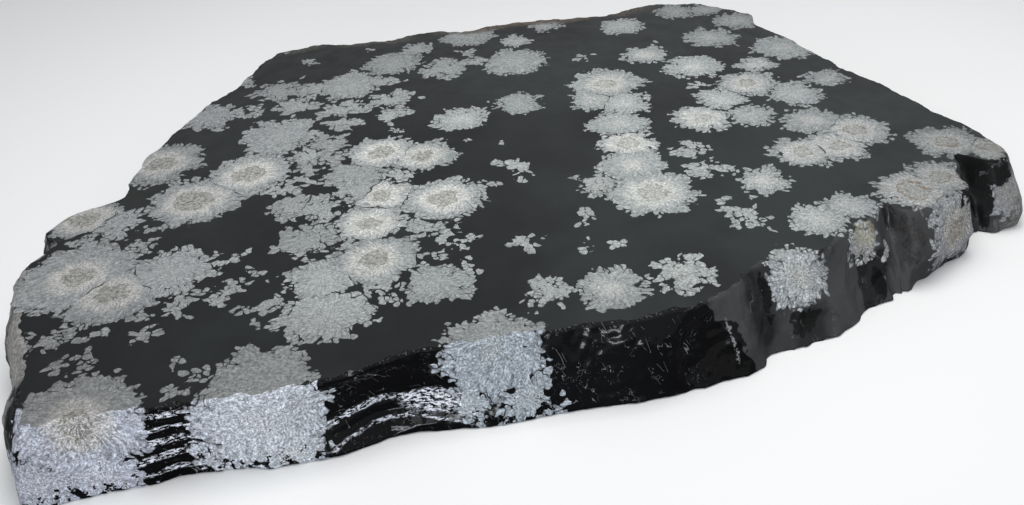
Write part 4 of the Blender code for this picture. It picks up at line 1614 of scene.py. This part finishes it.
class ObsidianMaterial:
    """Builds one of the stone's materials round the shared pattern group."""

    IOR = 1.49
    # Grey of the painted sheen on the right end's facets, in place of their reflection of the bright
    # surroundings.
    SHEEN_GREY = (0.047, 0.048, 0.050)
    # Pale colour of the seam, and of the bruises, which partly paint glints.
    PALE_BRUISE_AND_GLINT = (0.42, 0.43, 0.44)
    # Pale frost on the ripples' upper slopes: crushed glass and partly a painted highlight.
    FROST_AND_HIGHLIGHT = (0.78, 0.80, 0.88)
    RING = (0.20, 0.185, 0.15)
    RUSTY_RING = (0.21, 0.155, 0.105)
    SHEEN_FROM = (23.1, 23.4)
    # The x range over which the painted sheen sets in, at the foot.
    """The x range over which the haze sets in, at the foot."""
    FOOT = (0.3, 4.2)
    # The height range over which the snowflakes' gaps along the foot, partly painted shade, die out.
    """The height range over which the snowflakes' gaps along the foot die out."""
    ARRIS = (9.1, 9.35)
    """The height range over which the broken glass turns matt toward the upper arris."""
    CHIPPED = (9.25, 9.45)
    # The height range over which pale chips, partly painted glints, set in.
    """The height range over which pale chips set in."""
    SEAM = (20.0, 4.2)
    """The middle of the pale seam in the front's black hollow: x and z, in millimetres."""

    def __init__(self, pattern: Pattern, surface: Surface, finish: Finish) -> None:
        """Start the material.

        Args:
            pattern: The shared group.
            surface: The kind of surface.
            finish: Its colours and gloss.
        """
        self.surface = surface
        self.finish = finish
        self.material = bpy.data.materials.new(f"obsidian_{surface.value}")
        self.material.use_nodes = True
        self.g = Graph(self.material.node_tree)
        coordinates = self.g.node("ShaderNodeTexCoord").outputs["Object"]
        self.place = self.g.vector("SCALE", coordinates, 1.0 / MM)
        group = self.g.node("ShaderNodeGroup", node_tree=pattern.tree)
        self.g.feed(group.inputs["Place"], self.place)
        self.out = group.outputs

    def make(self) -> bpy.types.Material:
        """Lay the snowflakes over the glass, and over both the stains, with their black painted shade, and
        the seam.

        Returns:
            The material.
        """
        g = self.g
        if self.surface is Surface.SAWN:
            glass, glass_rough = self.sawn_glass()
            gone_and_shaded = g.times(self.out["Crack"], 0.9)
        else:
            glass, glass_rough = self.broken_glass()
            # Along the foot the snowflakes give way to black glass, partly painted shade near the floor.
            gone_and_shaded = self.foot_gaps_and_shade()
        shown = g.times(self.out["Flake"], g.math("SUBTRACT", 1.0, gone_and_shaded))
        colour = g.mix(shown, glass, self.flake())
        # The black stain patches are painted shade in hollows and under a snowflake.
        worn_and_shaded, dull, tint = self.stains_and_shade()
        colour = g.mix(worn_and_shaded, colour, tint)
        if self.surface is Surface.BROKEN:
            colour = g.mix(self.seam(), colour, self.PALE_BRUISE_AND_GLINT)
        clear = g.math("SUBTRACT", worn_and_shaded, dull)
        matt = g.math("MAXIMUM", g.math("SUBTRACT", shown, clear), dull)
        rough = g.blend("FLOAT", matt, glass_rough, self.finish.flake_roughness)
        shader = self.material.node_tree.nodes["Principled BSDF"]
        g.feed(shader.inputs["Base Color"], colour)
        g.feed(shader.inputs["Roughness"], rough)
        g.feed(shader.inputs["Normal"], self.relief(shown))
        shader.inputs["Metallic"].default_value = 0.0
        shader.inputs["IOR"].default_value = self.IOR
        shader.inputs["Specular IOR Level"].default_value = self.finish.shine
        return self.material

    def smoky_glass(self) -> Socket:
        """Return the plain glass's colour, with smoky drifts."""
        drift = self.g.ramp(self.g.noise(self.place, 0.045, 4.0, 0.6), 0.38, 0.66)
        return self.g.mix(drift, self.finish.glass, self.finish.smoke)

    def sawn_glass(self) -> tuple[Socket, Socket]:
        """Work out the sawn glass, paler toward the right as painted light, and of spotty gloss.

        Returns:
            Its colour and its roughness.
        """
        g, rough = self.g, self.finish.glass_roughness
        # glass_across paints light and shade: darker on the left, paler on the right.
        tint = g.spread(g.part(self.place, 0), self.finish.glass_across)
        colour = g.vector("MULTIPLY", self.smoky_glass(), tint)
        return colour, g.ramp(g.noise(self.place, 0.35, 3.0), 0.3, 0.7, rough * 0.85, rough * 1.2)

    def broken_glass(self) -> tuple[Socket, Socket]:
        """Work out the broken glass: black, with a painted sheen toward the right, frosted, partly as a
        painted highlight, and bruised, partly as painted glints.

        Returns:
            Its colour and its roughness.
        """
        g = self.g
        painted_sheen = self.painted_sheen()
        frost_and_highlight = self.frosting_and_highlight()
        bruise_and_glint = g.times(self.bruises_and_glints(), g.math("MULTIPLY_ADD", painted_sheen, -0.7, 1.0))
        colour = g.mix(painted_sheen, self.smoky_glass(), self.SHEEN_GREY)
        colour = g.mix(bruise_and_glint, colour, self.PALE_BRUISE_AND_GLINT)
        colour = g.mix(frost_and_highlight, colour, self.FROST_AND_HIGHLIGHT)
        rough = g.math("MULTIPLY_ADD", painted_sheen, 0.42, self.finish.glass_roughness)
        rough = g.math("MULTIPLY_ADD", frost_and_highlight, 0.3, rough)
        arris = g.ramp(g.part(self.place, 2), *self.ARRIS, 0.0, 0.8)
        return colour, g.math("MAXIMUM", rough, arris)

    def painted_sheen(self) -> Socket:
        """Work out the painted sheen toward the right end: grey that stands in for the facets' reflection of
        the bright surroundings.

        Returns:
            Its share, a little different on each facet, which are smoothed Voronoi cells here.
        """
        g = self.g
        bent = g.wander(self.place, self.place, 0.5, 1.0, 1.6)
        facet = g.node("ShaderNodeTexVoronoi", feature="SMOOTH_F1")
        g.feed(facet.inputs["Vector"], g.vector("MULTIPLY", bent, (1.0, 1.0, 0.5)))
        facet.inputs["Scale"].default_value = 0.20
        facet.inputs["Smoothness"].default_value = 0.35
        level = g.ramp(g.red(facet.outputs["Color"]), 0.15, 0.85, 0.2, 1.0)
        past = g.math("MULTIPLY_ADD", g.part(bent, 2), 0.7, g.part(bent, 0))
        return g.times(g.ramp(past, *self.SHEEN_FROM), level)

    def frosting_and_highlight(self) -> Socket:
        """Work out the crushed, frosted glass on the ripples' upper slopes, which is partly a painted
        highlight where those slopes face up toward the lights.

        Returns:
            Its share, mottled and frayed.
        """
        g = self.g
        frost_and_highlight = g.attribute("frost_and_highlight", "Fac")
        frayed = g.math("MULTIPLY_ADD", g.noise(self.place, 0.8, 3.0, 0.7), 1.2, frost_and_highlight)
        streaked = g.vector("MULTIPLY", self.place, (0.55, 0.55, 1.5))
        mottle = g.ramp(g.noise(streaked, 3.0, 4.0, 0.75), 0.485, 0.55)
        return g.times(frost_and_highlight, g.ramp(frayed, 1.05, 1.5), mottle)

    def foot_gaps_and_shade(self) -> Socket:
        """Work out the small patches along the foot of the broken side where the snowflakes give way to
        black: partly missing snowflakes, partly painted shade near the floor.

        Returns:
            Their share.
        """
        g = self.g
        low = g.ramp(g.part(self.place, 2), *self.FOOT, 1.0, 0.0)
        return g.ramp(g.math("MULTIPLY_ADD", low, 0.21, g.noise(self.place, 0.9, 3.0, 0.65)), 0.72, 0.76)

    def bruises_and_glints(self) -> Socket:
        """Work out the pale bruises: thin hairlines, fine grit and chips along the upper arris, which partly
        paint glints.

        The hairlines are where a noise passes through its middle value: one noise gives loops, and one that
        is sheared and drawn out gives scratches. Patches of slower noises let them through.

        Returns:
            Their share.
        """
        g, place = self.g, self.place
        height = g.part(place, 2)
        loop = g.ramp(g.math("ABSOLUTE", g.swing(place, 0.55, 3.0, 0.6)), 0.001, 0.005, 1.0, 0.0)
        loop = g.times(loop, g.ramp(g.noise(place, 0.5, 2.0), 0.57, 0.66))
        sheared = g.math("MULTIPLY_ADD", height, 0.55, g.part(place, 0))
        slanted = g.node("ShaderNodeCombineXYZ")
        g.feed(slanted.inputs[0], g.times(sheared, 0.9))
        g.feed(slanted.inputs[2], g.times(height, 0.22))
        drawn = g.math("ABSOLUTE", g.swing(slanted.outputs[0], 1.0, 1.0, 0.5))
        scratch = g.ramp(drawn, 0.002, 0.012, 0.7, 0.0)
        scratch = g.times(scratch, g.ramp(g.noise(place, 0.6, 3.0), 0.56, 0.62))
        grit = g.ramp(g.noise(place, 5.5, 2.0, 0.7), 0.62, 0.68)
        grit = g.times(grit, g.ramp(g.noise(place, 0.40, 3.0, 0.7), 0.54, 0.66, 0.0, 0.6))
        chip = g.times(g.ramp(height, *self.CHIPPED), g.ramp(g.noise(place, 3.5, 2.0, 0.7), 0.56, 0.64))
        share = g.math("MAXIMUM", g.math("MAXIMUM", loop, scratch), grit)
        return g.times(g.math("MAXIMUM", share, g.times(chip, 0.35)), 0.48)

    def stains_and_shade(self) -> tuple[Socket, Socket, Socket]:
        """Work out the stains: pale weathering with a frayed edge, and black painted shade with a torn one.

        Returns:
            The share of stain and painted shade, the share of it that is dull, and its speckled colour.
        """
        g, place = self.g, self.place
        stain_and_shade = g.node("ShaderNodeAttribute", attribute_name="stain_and_shade").outputs
        frayed = g.times(g.noise(place, 0.25, 5.0, 0.7), 2.0)
        frayed = g.math("MULTIPLY_ADD", stain_and_shade["Alpha"], 0.7, frayed)
        soft = g.times(stain_and_shade["Alpha"], g.ramp(frayed, 1.2, 1.42))
        torn = g.times(g.noise(place, 0.6, 4.0, 0.65), 1.8)
        torn = g.math("MULTIPLY_ADD", stain_and_shade["Alpha"], 0.8, torn)
        crisp = g.times(g.ramp(torn, 1.30, 1.38), g.ramp(stain_and_shade["Alpha"], 0.02, 0.1))
        # Black patches are painted shade.
        is_black = g.ramp(stain_and_shade["Fac"], 0.01, 0.05, 1.0, 0.0)
        worn_and_shaded = g.math("MULTIPLY_ADD", is_black, g.math("SUBTRACT", crisp, soft), soft)
        if self.surface is Surface.SAWN:
            worn_and_shaded = g.times(worn_and_shaded, g.ramp(g.part(place, 1), 30.0, 34.0))
        dull = g.times(worn_and_shaded, g.ramp(stain_and_shade["Fac"], 0.01, 0.05))
        speckle = g.ramp(g.noise(place, 3.0, 2.0), 0.3, 0.7, 0.6, 1.35)
        return worn_and_shaded, dull, g.vector("SCALE", stain_and_shade["Color"], speckle)

    def seam(self) -> Socket:
        """Work out the pale broken seam that slants down the black hollow in the front.

        Returns:
            Its share.
        """
        g, place = self.g, self.place
        x, y, z = g.parts(place)
        lift = g.math("SUBTRACT", z, self.SEAM[1])
        aside = g.math("MULTIPLY_ADD", lift, 0.28, g.math("SUBTRACT", x, self.SEAM[0]))
        from_seam = g.math("MULTIPLY_ADD", g.swing(place, 1.1, 3.0, 0.7), 1.5, aside)
        share = g.ramp(g.math("ABSOLUTE", from_seam), 0.04, 0.18, 0.55, 0.0)
        broken = g.ramp(g.noise(place, 4.0, 2.0, 0.7), 0.40, 0.54)
        ends = g.ramp(g.math("ABSOLUTE", lift), 2.0, 2.9, 1.0, 0.0)
        return g.times(share, broken, ends, g.math("LESS_THAN", y, 0.0))

    def flake(self) -> Socket:
        """Work out a snowflake's colour: grey, a pale halo round a mottled core, a thin ring and fine grain.

        Returns:
            The colour.
        """
        g, out, finish = self.g, self.out, self.finish
        x, y, _ = g.parts(self.place)
        colour = g.mix(out["Halo"], finish.flake, finish.cream)
        if self.surface is Surface.SAWN:
            mottle = g.ramp(g.noise(self.place, 1.9, 3.0, 0.7), 0.40, 0.66)
            depth = g.ramp(x, -8.0, 8.0, 0.85, 0.5)
        else:
            mottle = g.ramp(g.math("MULTIPLY_ADD", out["Grain"], 0.7, out["Star"]), 0.80, 0.94)
            depth = g.math("MULTIPLY_ADD", out["Rust"], -0.08, 0.78)
        dark = tuple(finish.core_dark * part for part in finish.core)
        colour = g.mix(g.times(out["Core"], depth), colour, g.mix(mottle, finish.core, dark))
        ring = g.times(out["Ring"], g.ramp(g.noise(self.place, 1.6, 2.0), 0.34, 0.55), 0.75)
        colour = g.mix(ring, colour, g.mix(out["Rust"], self.RING, self.RUSTY_RING))
        low, high = 1.0 - finish.grain, 1.0 + finish.grain
        light = g.times(
            g.ramp(out["Grain"], 0.28, 0.72, 1.0 - 0.6 * finish.grain, 1.0 + 0.6 * finish.grain),
            g.ramp(out["Fibre"], 0.3, 0.7, low, high),
            g.ramp(g.noise(self.place, 5.0, 2.0, 0.6), 0.3, 0.7, low, high),
            g.ramp(out["Tone"], 0.0, 1.0, 0.9, 1.08),
            g.ramp(out["Lobe"], 0.0, 1.0, finish.between_lobes, 1.0),
        )
        # across and back paint light and shade over the snowflakes.
        colour = g.vector("MULTIPLY", colour, g.spread(x, finish.across))
        if finish.back:
            colour = g.vector("MULTIPLY", colour, g.spread(y, finish.back))
        return g.vector("SCALE", colour, light)

    def relief(self, shown: Socket) -> Socket:
        """Work out the normal: a faint sawn tooth on the flats, and grit on the broken side's snowflakes.

        Args:
            shown: The share of snowflake.

        Returns:
            The normal.
        """
        g = self.g
        height = g.noise(self.place, self.finish.tooth_scale, 3.0, 0.7)
        if self.surface is Surface.BROKEN:
            grit = g.times(g.math("SUBTRACT", height, 0.5), g.math("MULTIPLY_ADD", shown, 0.95, 0.05))
            height = g.math("MULTIPLY_ADD", g.noise(self.place, 0.9, 3.0), 0.6, grit)
        bump = g.node("ShaderNodeBump")
        bump.inputs["Strength"].default_value = self.finish.tooth_strength
        bump.inputs["Distance"].default_value = self.finish.tooth_height * MM
        g.feed(bump.inputs["Height"], height)
        return bump.outputs[0]


@dataclass(frozen=True)
class Lamp:
    """A soft light. Lengths in metres."""

    name: str
    place: tuple[float, float, float]
    aim: tuple[float, float, float]
    """The point it faces."""
    size: tuple[float, float]
    """Width and height of its panel."""
    power: float
    """Watts."""
    tint: Colour

    def hang(self) -> None:
        """Put the light into the scene, turned toward its aim."""
        data = bpy.data.lights.new(self.name, "AREA")
        data.shape = "RECTANGLE"
        data.size, data.size_y = self.size
        data.energy = self.power
        data.color = self.tint
        lamp = bpy.data.objects.new(self.name, data)
        lamp.location = self.place
        toward = Vector(self.aim) - Vector(self.place)
        lamp.rotation_euler = toward.to_track_quat("-Z", "Y").to_euler()
        bpy.context.scene.collection.objects.link(lamp)


LAMPS = (
    Lamp("front", (-0.35, -0.75, 0.55), (0.0, 0.0, 0.0), (0.45, 0.45), 1.2, (0.86, 0.93, 1.0)),
    Lamp("strip", (-0.12, -0.62, 0.13), (-0.015, -0.045, 0.004), (0.36, 0.05), 1.1, (0.90, 0.95, 1.0)),
    Lamp("overhead", (0.02, -0.01, 0.20), (0.01, -0.01, 0.0), (0.14, 0.14), 0.28, (1.0, 0.99, 0.97)),
)


@dataclass
class Studio:
    """Floor, lights and camera. Lengths in metres."""

    focal_pixels: float = 1000.0
    frame_width: float = 1024.0
    sensor: float = 36.0
    pitch: float = 32.8
    roll: float = -4.3
    eye: tuple[float, float, float] = (-0.0020, -0.1250, 0.0735)
    floor_size: float = 6.0
    floor_colour: Colour = (0.90, 0.90, 0.90)
    mirrored_floor: Colour = (0.10, 0.10, 0.11)
    """The floor's colour in reflections, dark to keep the glass as dark as the real one."""
    sky: Colour = (0.95, 0.97, 1.0)
    sky_strength: float = 0.42

    def floor(self) -> None:
        """Lay a plain pale floor under the stone, dark where it is seen in reflections."""
        half = self.floor_size / 2.0
        mesh = bpy.data.meshes.new("floor")
        corners = [(-half, -half, 0.0), (half, -half, 0.0), (half, half, 0.0), (-half, half, 0.0)]
        mesh.from_pydata(corners, [], [(0, 1, 2, 3)])
        material = bpy.data.materials.new("floor_white")
        material.use_nodes = True
        shader = material.node_tree.nodes["Principled BSDF"]
        g = Graph(material.node_tree)
        mirrored = g.node("ShaderNodeLightPath").outputs["Is Glossy Ray"]
        g.feed(shader.inputs["Base Color"], g.mix(mirrored, self.floor_colour, self.mirrored_floor))
        shader.inputs["Roughness"].default_value = 0.8
        mesh.materials.append(material)
        floor = bpy.data.objects.new("floor", mesh)
        bpy.context.scene.collection.objects.link(floor)

    def lights(self) -> None:
        """Light the stone softly from all round, with a cool main light from the front."""
        world = bpy.data.worlds.new("studio")
        world.use_nodes = True
        back = world.node_tree.nodes["Background"]
        back.inputs["Color"].default_value = (*self.sky, 1.0)
        back.inputs["Strength"].default_value = self.sky_strength
        bpy.context.scene.world = world
        for lamp in LAMPS:
            lamp.hang()

    def camera(self) -> None:
        """Set the camera where the photograph was taken from."""
        data = bpy.data.cameras.new("camera")
        data.sensor_width = self.sensor
        data.lens = self.sensor * self.focal_pixels / self.frame_width
        data.clip_start = 0.01
        camera = bpy.data.objects.new("camera", data)
        turn = Matrix.Rotation(math.radians(90.0 - self.pitch), 4, "X")
        turn = turn @ Matrix.Rotation(math.radians(self.roll), 4, "Z")
        shift = Vector((*BOX_MIDDLE, 0.0)) * MM
        camera.matrix_world = Matrix.Translation(Vector(self.eye) - shift) @ turn
        bpy.context.scene.collection.objects.link(camera)
        bpy.context.scene.camera = camera

    def build(self) -> None:
        """Put up the whole studio."""
        self.floor()
        self.lights()
        self.camera()
        bpy.context.scene.view_settings.view_transform = "Standard"


def main() -> None:
    """Build the stone and the studio, in order."""
    logging.basicConfig(level=logging.INFO, format="%(message)s")
    rim = Rim()
    slab = Slab()
    stone = slab.build(rim, Flakes(rim))
    pattern = Pattern(slab.kept)
    for surface, finish in ((Surface.SAWN, SAWN), (Surface.BROKEN, BROKEN)):
        stone.data.materials.append(ObsidianMaterial(pattern, surface, finish).make())
    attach(stone, "root")
    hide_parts("obsidian_slab")
    Studio().build()


if __name__ == "__main__":
    main()
